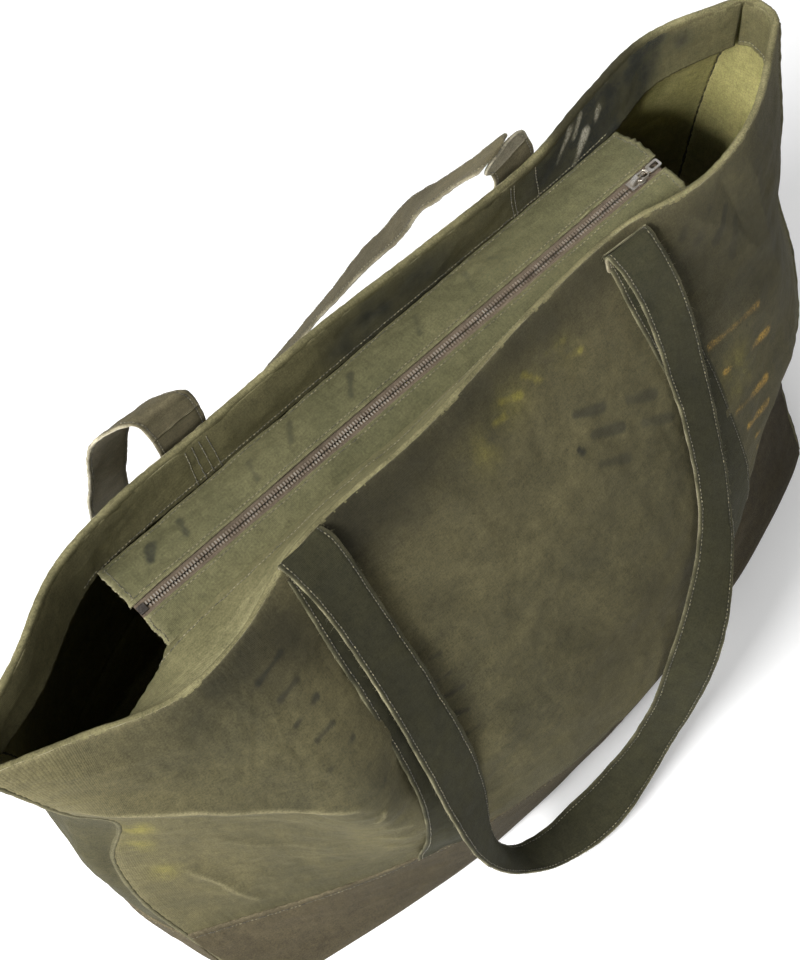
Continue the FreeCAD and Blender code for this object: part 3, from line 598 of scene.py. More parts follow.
def thread_mat(name, pale, deep):
    N = Nodes(name)
    fab, rest = N.attr("fab", True), N.attr("rest", True)
    n = N.noise(rest, 900.0, 2.0)
    col = N.mix(N.math("ADD", N.attr("wear"), N.math("MULTIPLY", N.math("SUBTRACT", n, 0.5), 0.5), clamp=True), deep, pale)
    # dark: painted shade at the stitch ends and needle holes
    col = N.mix(N.math("MULTIPLY", N.attr("dark"), 0.85), col, tuple(c * 0.25 for c in deep))
    N.t.links.new(col, N.b.inputs["Base Color"])
    x, y, _ = N.sep(fab)
    tw = N.math("SINE", N.math("MULTIPLY", x, 2 * math.pi / 0.0006))
    N.t.links.new(N.bump(tw, 0.00006), N.b.inputs["Normal"])
    N.b.inputs["Roughness"].default_value = 0.7
    N.b.inputs["Sheen Weight"].default_value = 0.2
    return N.m


def metal(name, base, dull, rough=0.3, scale=900.0):
    N = Nodes(name)
    tc = N.t.nodes.new("ShaderNodeTexCoord")
    n1 = N.noise(tc.outputs["Object"], 120.0, 4.0)
    n2 = N.noise(tc.outputs["Object"], scale, 3.0, 0.7)
    f = N.math("ADD", N.math("MULTIPLY", n1, 0.6), N.math("MULTIPLY", n2, 0.4))
    N.t.links.new(N.mix(N.ramp(f, 0.42, 0.62), dull, base), N.b.inputs["Base Color"])
    N.t.links.new(N.ramp(f, 0.35, 0.65, rough + 0.22, rough - 0.06), N.b.inputs["Roughness"])
    N.b.inputs["Metallic"].default_value = 1.0
    N.t.links.new(N.bump(n2, 0.00005, 0.5), N.b.inputs["Normal"])
    return N.m


EDGE = (0.225, 0.205, 0.122)
M_BODY = canvas("m_canvas_body", (0.092, 0.080, 0.037), (0.046, 0.042, 0.021), (0.140, 0.122, 0.060), seed=0.0, ochre=(0.36, 0.22, 0.045), stain=(0.235, 0.205, 0.035))
M_BODYIN = canvas("m_canvas_inside", (0.245, 0.222, 0.084), (0.160, 0.146, 0.055), (0.320, 0.290, 0.120), seed=1.0)
M_BASE = canvas("m_canvas_base", (0.054, 0.043, 0.022), (0.032, 0.025, 0.013), (0.086, 0.070, 0.038), seed=2.0)
M_GUS = canvas("m_canvas_gusset", (0.055, 0.050, 0.024), (0.034, 0.032, 0.017), (0.094, 0.084, 0.042), seed=3.0)
M_FAC = canvas("m_canvas_facing", (0.092, 0.083, 0.037), (0.048, 0.043, 0.020), (0.136, 0.122, 0.056), seed=4.0, ochre=(0.27, 0.255, 0.205))
M_LIP = canvas("m_canvas_lip", (0.138, 0.126, 0.060), (0.094, 0.088, 0.040), (0.200, 0.182, 0.092), seed=5.0, worn=0.75)
M_STRIP = canvas("m_canvas_strip", (0.112, 0.105, 0.051), (0.078, 0.076, 0.036), (0.160, 0.146, 0.074), seed=6.0)
M_STRAP = canvas("m_canvas_strap", (0.030, 0.0285, 0.013), (0.018, 0.0175, 0.0085), (0.049, 0.046, 0.022), seed=7.0, edge=EDGE, worn=1.0)
M_STRAPB = canvas("m_canvas_strap_back", (0.100, 0.086, 0.048), (0.058, 0.050, 0.028), (0.150, 0.128, 0.074), seed=8.0, edge=(0.40, 0.36, 0.25), worn=1.0)
M_STRAPIN = canvas("m_canvas_strap_lining", (0.210, 0.188, 0.128), (0.120, 0.110, 0.078), (0.300, 0.268, 0.190), seed=9.0, edge=(0.52, 0.48, 0.36))
M_TAPE = canvas("m_zip_tape", (0.128, 0.098, 0.068), (0.092, 0.070, 0.048), (0.165, 0.130, 0.094), pitch=0.0006, seed=10.0, sheen=0.1)
M_RAW = canvas("m_raw_edge", (0.190, 0.172, 0.100), (0.110, 0.100, 0.058), (0.290, 0.262, 0.165), seed=11.0)
M_THREAD = thread_mat("m_thread", (0.30, 0.265, 0.150), (0.045, 0.040, 0.022))
M_THREADD = thread_mat("m_thread_dark", (0.26, 0.225, 0.12), (0.028, 0.025, 0.014))
M_TEETH = metal("m_zip_teeth", (0.80, 0.73, 0.62), (0.34, 0.28, 0.215), 0.26)
M_SLIDER = metal("m_slider", (0.92, 0.89, 0.83), (0.46, 0.42, 0.36), 0.20)
M_STOP = metal("m_zip_stop", (0.20, 0.18, 0.16), (0.07, 0.062, 0.055), 0.38)


# ---------------------------------------------------------------- panels
CLOTH_T = 1.5


def arc_coords(P):
    """flat cloth coordinates of a grid: along u at mid height, along v per column"""
    nu, nv = P.shape[:2]
    mid = nv // 2
    s = np.r_[0, np.cumsum(np.linalg.norm(np.diff(P[:, mid], axis=0), axis=1))]
    t = np.concatenate([np.zeros((nu, 1)), np.cumsum(np.linalg.norm(np.diff(P, axis=1), axis=2), axis=1)], 1)
    S = np.repeat(s[:, None], nv, 1)
    return S, t


def wrinkle(S, T, seed, big=1.6, mid=0.7, fine=0.22):
    wx = 14 * fnoise(S, T, seed + 9, 160)
    a = anoise(S + wx, T + wx * 0.6, seed, 150, 95) * big
    b = anoise(S + wx, T - wx, seed + 1, 62, 40)
    b = np.sign(b) * (np.abs(b) ** 0.85) * mid
    r = 1 - np.abs(anoise(S + 2 * wx, T + wx, seed + 2, 85, 60))
    c = (np.clip(r, 0, 1) ** 5) * 0.6 * mid
    d = anoise(S, T, seed + 3, 17, 12) * fine
    return a + b + c + d


def pucker(S, dist, seed, amp=0.45, reach=11.0, pitch=9.0):
    """little gathers that run away from a row of stitches"""
    ph = 1.3 * fnoise(S, S * 0, seed, 40)
    w = np.sin(2 * math.pi * S / pitch + 2.5 * ph) * 0.6 + np.sin(2 * math.pi * S / (pitch * 0.57) + 4 * ph) * 0.4
    return amp * w * np.exp(-np.abs(dist) / reach)


def panel_grid(G, U, Vv, sign, seed, creases=(), thick=CLOTH_T, keep_top=True):
    P = grid(G, U, Vv)
    N = grid_normals(P, sign)
    S, T = arc_coords(P)
    H = T[:, -1:]
    edge = np.minimum(np.minimum(S, S[-1:] - S), np.minimum(T, H - T))
    fade = sstep(2, 45, edge)
    d = wrinkle(S, T, seed) * fade
    d = d + pucker(S, T, seed + 20, 0.5) + pucker(S, H - T, seed + 21, 0.26, 9.0)
    d = d + pucker(T, S, seed + 22, 0.4) + pucker(T, S[-1:] - S, seed + 23, 0.4)
    wear = 0.55 * np.exp(-np.minimum(S, S[-1:] - S) / 2.5) + 0.35 * np.exp(-T / 1.8) + 0.5 * np.exp(-(H - T) / 2.5)
    for line, h, w, wear_and_highlight in creases:
        pts = at(G, [c[0] for c in line], [c[1] for c in line])
        dd, al = line_dist(P, resample(pts, 12.0) if len(pts) > 2 else pts)
        taper = sstep(0, 0.18, al) * sstep(0, 0.22, 1 - al)
        prof = np.exp(-np.sqrt(dd * dd + 1.0) / w) * math.exp(1.0 / w)
        d = d + h * prof * taper
        # crease ridges get lighter along their line: partly real wear, partly painted highlight
        wear = wear + wear_and_highlight * np.exp(-(dd / 1.8) ** 2) * taper
    return P + N * (thick + d[..., None]), N, S, T, np.clip(wear, 0, 1), d


def marks(P, strokes):
    """faded hand-brushed strokes: (net u, v) pairs, half width, strength"""
    out = np.zeros(P.shape[:2])
    for a, b, r, k in strokes:
        dd, al = seg_dist(P, a, b)
        rr = r * (0.92 + 0.16 * np.sin(al * 4 + r))
        out = np.maximum(out, k * (1 - sstep(rr * 0.6, rr * 1.25, dd)))
    return out


# soft round spots: real stains and the black patch on the back facing, and painted shade on the front panel
def soft_spots(P, spots):
    out = np.zeros(P.shape[:2])
    for c, r, k in spots:
        dd = np.linalg.norm((P - np.asarray(c, float)) , axis=-1)
        out = 1 - (1 - out) * (1 - k * np.exp(-(dd / r) ** 2))
    return out


# front panel -------------------------------------------------------------
# front creases: net (u, v) path, height, width, and ridge lightening, which is partly wear and partly painted highlight
CREASES_F = [
    ([(0.10, 5.2), (0.92, 5.22), (1.57, 5.25), (2.3, 4.97), (2.8, 4.5), (3.05, 4.15)], 4.2, 7.0, 0.85),
    ([(0.25, 4.65), (1.0, 4.65), (1.65, 4.7), (2.25, 4.45), (2.7, 4.05)], -4.4, 12.0, 0.0),
    ([(3.05, 4.15), (3.02, 4.0), (2.90, 3.92)], 1.6, 3.0, 0.5),
    ([(1.0, 2.52), (1.27, 2.15), (1.42, 1.65), (1.52, 1.18)], 2.8, 6.0, 0.45),
    ([(1.42, 3.2), (1.8, 2.75), (2.32, 2.65), (2.7, 2.65)], 1.7, 10.0, 0.12),
    ([(2.92, 3.55), (3.1, 3.2), (3.28, 2.9)], 1.2, 3.4, 0.25),
    ([(2.87, 3.02), (3.05, 2.8), (3.28, 2.57)], 1.2, 3.4, 0.25),
    ([(2.92, 2.52), (3.05, 2.3), (3.2, 2.12)], 1.0, 3.4, 0.2),
    ([(4.6, 6.7), (4.9, 6.0), (5.0, 5.2), (4.95, 4.4)], 2.2, 13.0, 0.0),
    ([(5.5, 6.6), (5.7, 5.9), (5.6, 5.1)], -2.0, 12.0, 0.0),
    ([(7.6, 6.9), (7.9, 6.2), (8.3, 5.6), (8.5, 4.8)], 2.6, 12.0, 0.0),
    ([(8.6, 6.9), (8.75, 6.0), (8.7, 5.0), (8.9, 3.8)], 3.2, 14.0, 0.05),
    ([(8.2, 6.9), (8.35, 6.1), (8.4, 5.2)], -3.0, 12.0, 0.0),
    ([(4.3, 2.2), (5.2, 1.9), (6.1, 1.8), (6.9, 1.5)], 1.8, 12.0, 0.0),
    ([(0.2, 6.5), (0.8, 6.3), (1.5, 6.35), (2.1, 6.2)], 1.4, 9.0, 0.06),
]
INK_F = [
    ((2.825, 6.45), (3.2, 6.45), 3.0, 0.8), ((2.9, 6.1), (3.15, 6.075), 3.0, 0.7), ((2.85, 5.775), (3.2, 5.75), 3.0, 0.78), ((2.925, 5.5), (3.15, 5.45), 3.0, 0.62),
    ((2.85, 5.175), (3.225, 5.125), 3.0, 0.75), ((2.925, 4.825), (3.175, 4.775), 3.0, 0.62), ((2.95, 4.4), (3.225, 4.4), 3.0, 0.6), ((4.15, 4.4), (4.3, 4.325), 2.6, 0.62),
    ((4.15, 4.125), (4.275, 4.075), 2.6, 0.62), ((4.15, 3.9), (4.3, 3.85), 2.6, 0.62), ((4.15, 3.675), (4.25, 3.625), 2.6, 0.62), ((4.1, 3.45), (4.25, 3.425), 2.6, 0.62),
    ((4.1, 3.225), (4.2, 3.2), 2.6, 0.62),
    ((6.00, 5.38), (6.20, 5.18), 4.4, 0.60), ((6.04, 5.02), (6.26, 4.80), 4.6, 0.58), ((5.96, 4.70), (6.18, 4.46), 4.4, 0.56), ((5.88, 5.02), (5.89, 4.98), 3.4, 0.85),
    ((6.42, 4.98), (6.62, 4.76), 4.8, 0.52), ((6.44, 4.60), (6.66, 4.36), 4.8, 0.48),
    ((7.74, 6.66), (7.56, 6.28), 4.2, 0.70), ((7.96, 6.44), (7.70, 6.04), 4.2, 0.70), ((8.20, 6.14), (7.94, 5.80), 4.4, 0.70), ((8.30, 5.78), (8.08, 5.34), 4.2, 0.6),
]
OCHRE_F = [
    ((7.34, 4.56), (8.20, 4.32), 3.8, 1.0), ((7.40, 4.10), (8.30, 3.78), 3.6, 1.0),
    ((7.34, 3.58), (8.04, 3.32), 3.8, 0.95), ((7.48, 3.22), (7.98, 2.98), 3.8, 0.9), ((7.60, 2.88), (8.02, 2.64), 3.4, 0.7), ((7.64, 2.52), (8.0, 2.34), 3.2, 0.5),
    ((6.075, 3.68), (6.085, 3.64), 2.2, 1.0), ((6.02, 3.72), (6.03, 3.70), 1.6, 0.9), ((3.15, 4.93), (3.16, 4.91), 1.8, 0.8),
]
YELLOW_F = [((5.20, 5.86), (5.36, 6.04), 4.0, 0.75), ((5.30, 6.22), (5.52, 6.10), 3.6, 0.7), ((5.56, 6.30), (5.70, 6.16), 3.6, 0.65), ((5.80, 6.34), (5.88, 6.10), 3.6, 0.65),
            ((6.02, 6.34), (6.18, 6.28), 3.6, 0.6), ((6.10, 6.12), (6.26, 5.98), 3.6, 0.6)]
STAIN_F = [((5.28, 6.0), 16, 0.28), ((5.60, 6.25), 15, 0.25), ((6.08, 6.2), 15, 0.25),
           ((0.70, 3.75), 12, 0.55), ((0.60, 3.2), 11, 0.45), ((0.76, 2.5), 10, 0.35), ((7.6, 3.9), 18, 0.35)]
# painted shade: darker spots under the front rim, near the hanging handle and over the right end, where shade falls; a
# few spots at the upper right are real dark smudges
SHADE_AND_SMUDGE_F = [((4.3, 6.85), 34, 0.98), ((4.2, 6.5), 26, 0.80), ((4.6, 6.50), 34, 0.80), ((4.9, 6.85), 30, 0.85), ((5.35, 6.75), 30, 0.80), ((5.8, 6.8), 28, 0.76), ((6.2, 6.75), 28, 0.76), ((6.6, 6.8), 26, 0.74),
          ((6.95, 6.65), 26, 0.66), ((7.1, 6.2), 20, 0.45), ((7.725, 6.6), 32, 0.82), ((7.62, 5.75), 26, 0.72), ((7.72, 5.12), 24, 0.5), ((8.22, 5.47), 28, 0.5), ((7.3, 4.875), 20, 0.5),
          ((8.9, 6.4), 44, 0.72), ((9.5, 5.6), 48, 0.68), ((8.7, 5.2), 40, 0.58), ((8.45, 4.5), 38, 0.52), ((9.4, 4.2), 46, 0.60), ((8.9, 3.2), 44, 0.50), ((8.1, 2.6), 40, 0.42), ((9.5, 2.2), 44, 0.65), ((7.3, 1.8), 36, 0.32),
          ((2.5, 6.9), 18, 0.50), ((2.95, 6.8), 28, 0.72), ((3.35, 6.55), 28, 0.78), ((3.5, 5.9), 20, 0.35), ((1.9, 6.75), 22, 0.34), ((1.2, 6.5), 24, 0.22), ((1.6, 4.75), 20, 0.30), ((0.8, 4.7), 18, 0.26), ((2.3, 4.5), 16, 0.30),
          ((3.9, 5.9), 20, 0.35), ((3.95, 5.2), 16, 0.30), ((4.1, 1.8), 26, 0.28), ((5.15, 2.9), 46, 0.42), ((5.8, 2.9), 50, 0.44), ((5.0, 1.7), 36, 0.36), ((6.2, 1.8), 40, 0.38), ((6.6, 3.6), 34, 0.16)]

b = Build()
U, Vv = np.linspace(0, 10, 451), np.linspace(0.97, 7.0, 251)
P, N, S, T, wear, D = panel_grid(FRONT, U, Vv, 1.0, 11, CREASES_F)
ink = np.zeros(P.shape[:2])
if INK_F:
    ink = marks(P, [(at(FRONT, a[0], a[1])[0], at(FRONT, c[0], c[1])[0], r, k) for a, c, r, k in INK_F])
# the painted shade, with its few real smudges, goes into the dark attribute
shade_and_smudge = soft_spots(P, [(at(FRONT, c[0], c[1])[0], r, k) for c, r, k in SHADE_AND_SMUDGE_F]) if SHADE_AND_SMUDGE_F else 0 * ink
ochre = marks(P, [(at(FRONT, a[0], a[1])[0], at(FRONT, c[0], c[1])[0], r, k) for a, c, r, k in OCHRE_F]) if OCHRE_F else 0 * ink
stain = soft_spots(P, [(at(FRONT, c[0], c[1])[0], r, k) for c, r, k in STAIN_F])
stain = np.maximum(stain, marks(P, [(at(FRONT, a[0], a[1])[0], at(FRONT, c[0], c[1])[0], r, k) for a, c, r, k in YELLOW_F]))
fab = np.stack([S, T, 0 * S], -1)
b.shell(P, N, CLOTH_T, fab, wear=wear, ink=ink, ochre=ochre, stain=stain, dark=shade_and_smudge)
b.done("front_panel_cloth", [M_BODY, M_BODYIN, M_RAW], "bag", "canvas_body", ["front_panel"])
FP, FN = P, N

# back panel --------------------------------------------------------------
b = Build()
U = np.linspace(0, 10, 261)
P, N, S, T, wear, D = panel_grid(BACK, U, np.linspace(0.97, 7.0, 131), -1.0, 31)
b.shell(P, N, CLOTH_T, np.stack([S, T, 0 * S], -1), flip=True, wear=wear)
b.done("back_panel_cloth", [M_BODY, M_BODYIN, M_RAW], "bag", "canvas_body", ["back_panel"])

# gussets -----------------------------------------------------------------
for nm, G, sg, fl, sd in (("left", LEFT, -1.0, True, 51), ("right", RIGHT, 1.0, False, 71)):
    b = Build()
    P, N, S, T, wear, D = panel_grid(G, np.linspace(0, 4, 91), np.linspace(0.97, 7.0, 141), sg, sd)
    b.shell(P, N, CLOTH_T, np.stack([S, T, 0 * S], -1), flip=fl, wear=wear)
    b.done(nm + "_gusset_cloth", [M_GUS, M_BODYIN, M_RAW], "bag", "canvas_gusset", [nm + "_gusset"])

# base bands: heavier cloth lapped over the panels ------------------------
for nm, G, sg, fl, nu, sd in (("front", FRONT, 1.0, False, 281, 91), ("back", BACK, -1.0, True, 221, 92), ("left", LEFT, -1.0, True, 71, 93), ("right", RIGHT, 1.0, False, 71, 94)):
    b = Build()
    U = np.linspace(0, len(G) - 1, nu)
    Vv = np.r_[np.linspace(0.0, 0.96, 36), np.linspace(0.97, 1.03, 9)]
    P = grid(G, U, Vv)
    N = grid_normals(P, sg)
    foot = sstep(14, 0, P[..., 2])[..., None]
    N = unit(N * (1 - foot) + foot * unit(N * np.array([1, 1, 0])))
    S, T = arc_coords(P)
    H = T[:, -1:]
    d = wrinkle(S, T, sd, 0.9, 0.5, 0.2) * sstep(0, 25, T) * sstep(0, 18, H - T) + pucker(S, H - T, sd + 5, 0.5, 9.0)
    roll = np.sqrt(np.clip(1 - (1 - np.clip((H - T) / 2.0, 0, 1)) ** 2, 0, 1)) * 1.3
    lift = CLOTH_T + 0.5 + roll * 0.8 - 0.7 * sstep(4.2, 0.0, np.abs(H - T - 5.0)) * 0.35
    lift = lift * (1 - 0.45 * sstep(10, 0, T))
    P2 = P + N * (lift + d)[..., None]
    P2[..., 2] = np.maximum(P2[..., 2], 0.15)
    wear = 0.75 * np.exp(-(H - T) / 1.2) + 0.5 * np.exp(-T / 5.0) + 0.15
    # darker within a couple of centimetres of the bottom; on the front and right bands painted shade also deepens
    # towards the right end, away from the key light
    bottom_dark_and_shade = 0.35 * np.exp(-T / 22.0)
    if nm in ("front", "right"):
        bottom_dark_and_shade = 1 - (1 - bottom_dark_and_shade) * (1 - 0.62 * sstep(60, 330, P[..., 0]))
    b.shell(P2, N, 1.9, np.stack([S, T, 0 * S], -1), flip=fl, wear=wear, dark=bottom_dark_and_shade)
    k = np.argmin(np.abs((H - T)[nu // 2] - 4.5))
    b.stitches(P2[:, k], N[:, k], 3, seed=sd, tone=0.35)
    b.done("base_%s_cloth" % nm, [M_BASE, M_BODYIN, M_BASE, M_THREADD], "bag", "canvas_base", ["base_%s_band" % nm])

# floor of the bag --------------------------------------------------------
ring = np.concatenate([grid(FRONT, np.linspace(0, 10, 80)[:-1], [0.0])[:, 0], grid(RIGHT, np.linspace(0, 4, 30)[:-1], [0.0])[:, 0],
                       grid(BACK, np.linspace(10, 0, 80)[:-1], [0.0])[:, 0], grid(LEFT, np.linspace(4, 0, 30)[:-1], [0.0])[:, 0]])
cen = ring.mean(0)
rr = np.linspace(1.0, 0.02, 40)
P = cen + (ring[:, None, :] - cen) * rr[None, :, None]
P[..., 2] = 2.6 + 1.3 * fnoise(P[..., 0], P[..., 1], 5, 130) * sstep(1.0, 0.8, rr)[None]
P[..., 2] = np.maximum(P[..., 2], 1.8)
top = P
bot = P.copy()
bot[..., 2] = 0.1
b = Build()
i0 = b.verts(top, np.stack([top[..., 0], top[..., 1], 0 * top[..., 0]], -1), wear=0.2) + np.arange(P.shape[0] * 40).reshape(-1, 40)
i1 = b.verts(bot, np.stack([bot[..., 0], bot[..., 1], 0 * bot[..., 0] + 1], -1), wear=0.3) + np.arange(P.shape[0] * 40).reshape(-1, 40)
b.quads(i0, 0, wrap_u=True)
b.quads(i1, 1, wrap_u=True, flip=True)
for a_, f_ in ((i0[:, -1], 0), (i1[::-1, -1], 1)):
    b.f.append([a_.tolist()])
    b.m.append(np.array([f_]))
q = np.stack([i0[:, 0], np.roll(i0[:, 0], -1), np.roll(i1[:, 0], -1), i1[:, 0]], -1)[:, ::-1]
b.faces(q, 1)
b.done("base_floor_cloth", [M_BODYIN, M_BASE], "bag", "canvas_base", ["base_floor"])


# rim fold all the way round ----------------------------------------------
def rim_loop():
    """closed line along the rim"""
    out = []
    for G, u in ((FRONT, np.linspace(0, 10, 300)[:-1]), (RIGHT, np.linspace(0, 4, 50)[:-1]), (BACK, np.linspace(10, 0, 300)[:-1]), (LEFT, np.linspace(4, 0, 50)[:-1])):
        out.append(grid(G, u, [7.0])[:, 0])
    return np.concatenate(out)


L = rim_loop()
for _ in range(6):
    L = 0.5 * L + 0.25 * (np.roll(L, 1, 0) + np.roll(L, -1, 0))
Tn = unit(np.roll(L, -1, 0) - np.roll(L, 1, 0))
outw = unit(np.cross(Tn, np.array([0, 0, 1.0])))
sl = np.r_[0, np.cumsum(np.linalg.norm(np.diff(L, axis=0), axis=1))]
prof = [(1.75, -7.5), (1.95, -5.0), (2.05, -2.5), (1.9, -0.6), (1.25, 0.55), (0.1, 0.95), (-1.2, 0.9), (-2.4, 0.35), (-3.1, -0.8), (-3.25, -3.0), (-3.1, -6.5), (-2.2, -7.0), (0.8, -7.6)]
wob = 0.25 * fnoise(sl, sl * 0, 3, 38) + 0.12 * fnoise(sl, sl * 0, 4, 11)
rings = np.stack([L + outw * (o + (wob * (1 if o > 0 else -1))[:, None]) + np.array([0, 0, 1.0]) * (z + wob[:, None] * 0.8) for o, z in prof], 1)
b = Build()
fab = np.zeros(rings.shape)
fab[..., 0] = sl[:, None]
fab[..., 1] = np.cumsum([0] + [math.hypot(prof[k+1][0] - prof[k][0], prof[k+1][1] - prof[k][1]) for k in range(len(prof) - 1)])[None]
w_ = np.array([0.05, 0.1, 0.25, 0.55, 0.85, 0.9, 0.85, 0.6, 0.3, 0.1, 0.0, 0.0, 0.0])[None] * np.ones(rings.shape[:2]) * (0.6 + 0.4 * sstep(-0.5, 0.8, fnoise(sl, sl * 0, 8, 55)))[:, None]
rd = 0.85 * sstep(192, 225, L[:, 0]) * sstep(330, 300, L[:, 0]) * (L[:, 1] > 30)
b.tube(rings, fab, 0, closed=True, wear=w_ * (1 - rd[:, None]), dark=rd[:, None] * np.ones(rings.shape[:2]))
b.done("rim_fold", [M_FAC], "bag", "canvas_body")

# corner seams ------------------------------------------------------------
b = Build()
for G, u, sg in ((FRONT, 0.0, -1), (FRONT, 10.0, 1), (BACK, 0.0, -1), (BACK, 10.0, 1)):
    L = grid(G, [u], np.linspace(0.05, 6.93, 150))[0]
    o = unit(np.array([sg * 0.8, -0.6 if G is FRONT else 0.6, 0.0]))
    Tn = unit(np.gradient(L, axis=0))
    Bn = unit(np.cross(Tn, o))
    On = unit(np.cross(Bn, Tn))
    ang = np.arange(8) / 8 * 2 * math.pi
    sl = np.r_[0, np.cumsum(np.linalg.norm(np.diff(L, axis=0), axis=1))]
    r = 1.7 + 0.3 * fnoise(sl, sl * 0, int(u) + 3, 14)
    rings = L[:, None] + On[:, None] * (1.0 + np.cos(ang)[None, :, None] * r[:, None, None]) + Bn[:, None] * np.sin(ang)[None, :, None] * r[:, None, None] * 1.2
    fab = np.zeros(rings.shape)
    fab[..., 0] = sl[:, None]
    fab[..., 1] = (ang * 1.7)[None]
    b.tube(rings, fab, 0, wear=(0.35 + 0.4 * np.cos(ang))[None] * np.ones(rings.shape[:2]))
b.done("corner_seams", [M_GUS], "bag", "canvas_gusset")


# facings -----------------------------------------------------------------
def facing_grid(G, low, u, sgn, rows=26, drop=2.0):
    rim = grid(G, u, [7.0])[:, 0]
    tan = unit(np.gradient(rim, axis=0))
    inn = unit(np.stack([-tan[:, 1], tan[:, 0], 0 * tan[:, 0]], -1)) * sgn
    hi = rim + inn * 3.1 + np.array([0, 0, -drop])
    lo = cr(low, u)
    f = np.linspace(0, 1, rows)
    P = hi[:, None] + (lo - hi)[:, None] * f[None, :, None]
    return P


def facing_piece(name, G, low, u, sgn, sd, mat, slot_, node, rows=26, extra=None, thread=None, sag=0.0, nsign=None):
    P = facing_grid(G, low, u, sgn, rows)
    N = grid_normals(P, 1.0)
    # face the inside of the bag
    cen = np.array([10.0, 5.0, 380.0])
    if np.mean(np.sum(N * (cen - P), -1)) < 0:
        N = -N
    S, T = arc_coords(P)
    H = T[:, -1:]
    edge = np.minimum(np.minimum(S, S[-1:] - S), np.minimum(T, H - T))
    d = wrinkle(S, T, sd, 1.0, 0.6, 0.2) * sstep(0, 18, edge) + pucker(S, H - T, sd + 1, 0.4, 8.0) - sag * np.sin(math.pi * T / np.maximum(H, 1)) * sstep(10, 60, H)
    d = d + 0.35 * sstep(6.0, 4.0, H - T)
    P2 = P + N * d[..., None]
    cr_ = np.cross(np.gradient(P2, axis=0), np.gradient(P2, axis=1))
    fl = np.mean(np.sum(cr_ * N, -1)) < 0
    b = Build()
    wear = 0.5 * np.exp(-T / 5.0) + 0.5 * np.exp(-(H - T) / 1.3)
    kw = dict(wear=wear)
    if extra is not None:
        kw.update(extra(P2, S, T))
    b.shell(P2, N, 1.2, np.stack([S, T, 0 * S], -1), flip=fl, **kw)
    return b, P2, N, S, T


def paint_back(P, S, T):
    k = soft_spots(P, [((235, 52, 385), 40, 1.0), ((275, 60, 388), 40, 1.0), ((205, 50, 385), 30, 0.9), ((296, 62, 396), 24, 0.95), ((322, 62, 392), 16, 0.75), ((305, 62, 366), 16, 0.6), ((345, 60, 388), 10, 0.5), ((40, 56, 383), 24, 0.5), ((82, 51, 374), 30, 0.78), ((30, 50, 372), 22, 0.45), ((10, 56, 372), 14, 0.4)])
    k = np.clip(k * (1.15 + 0.35 * fnoise(P[..., 0], P[..., 2], 7, 24)), 0, 1)
    st = marks(P, [((226, 49, 364), (243, 52, 381), 4.0, 1.0), ((243, 52, 371), (260, 55, 388), 2.8, 0.9), ((212, 51, 377), (230, 53, 395), 3.2, 0.95), ((232, 52, 386), (243, 54, 397), 2.4, 0.8), ((198, 50, 369), (207, 51, 378), 2.2, 0.5)])
    return dict(ink=k * (1 - st), ochre=st)


b, P2, N2, S2, T2 = facing_piece("back", BACK, FACE_B, np.linspace(0.03, 9.97, 281), -1.0, 111, None, None, None, extra=paint_back)
H2 = T2[:, -1:]
zr = [k for k in range(len(P2)) if -222 < P2[k, -1, 0] - 0 < 262]
row = np.array([P2[k, max(0, int(np.argmin(np.abs(H2[k] - T2[k] - 4.2))))] for k in zr])
b.stitches(row, N2[zr, -3], 3, seed=7, tone=0.55)
row = np.array([P2[k, int(np.argmin(np.abs(H2[k] - T2[k] - 6.9)))] for k in range(len(P2))])
for xs in (-117.0, -112.0, -105.5, -100.5):
    k = int(np.argmin(np.abs(P2[:, 0, 0] - xs)))
    b.stitches(P2[k, 2:-1], N2[k, 2:-1], 3, seed=int(xs) + 200, tone=0.3)
for xs in (168.0, 173.0, 192.0):
    k = int(np.argmin(np.abs(P2[:, 0, 0] - xs)))
    b.stitches(P2[k, 2:-1], N2[k, 2:-1], 3, seed=int(xs) + 200, tone=0.25)
b.done("back_facing_cloth", [M_FAC, M_BODYIN, M_RAW, M_THREAD], "bag", "canvas_facing", ["back_facing"])

LIP_F = FACE_F.copy()
LIP_F[3:8, 1] += 10.0
LIP_F[3:8, 2] += 1.2
LIP_F[2] = (-226, -36, 360)
LIP_F[8] = (260, -24, 365)


def lip_look(P, S, T):
    H = T[:, -1:]
    f = T / np.maximum(H, 1.0)
    # two lighter lines run along the lip about 9 and 15 mm in from the rim; the inner edge, tucked under the zip strip,
    # is painted darker: painted shade
    w = 0.26 * np.exp(-((T - 9.0 - 2.0 * fnoise(S, 0 * S, 61, 90)) / 1.1) ** 2) + 0.14 * np.exp(-((T - 15.0 - 2.5 * fnoise(S, 0 * S, 62, 70)) / 1.0) ** 2)
    return dict(wear=np.clip(0.65 * np.exp(-T / 4.0) + w, 0, 1), dark=0.28 * sstep(0.72, 1.0, f))


b, P2, N2, S2, T2 = facing_piece("front", FRONT, LIP_F, np.linspace(0.03, 9.97, 301), 1.0, 131, None, None, None, rows=34, extra=lip_look)
H2 = T2[:, -1:]
zr = [k for k in range(len(P2)) if -222 < P2[k, -1, 0] < 262]
zr = [k for k in zr if np.min(np.abs(P2[k, :, 1] + 33.0)) < 1.2]
row = np.array([P2[k, int(np.argmin(np.abs(P2[k, :, 1] + 33.0)))] for k in zr])
row[1:-1] = 0.5 * row[1:-1] + 0.25 * (row[2:] + row[:-2])
b.stitches(row, N2[zr, -3], 3, seed=8, tone=0.6)
b.done("front_facing_cloth", [M_LIP, M_BODYIN, M_RAW, M_THREAD], "bag", "canvas_facing", ["front_facing"])

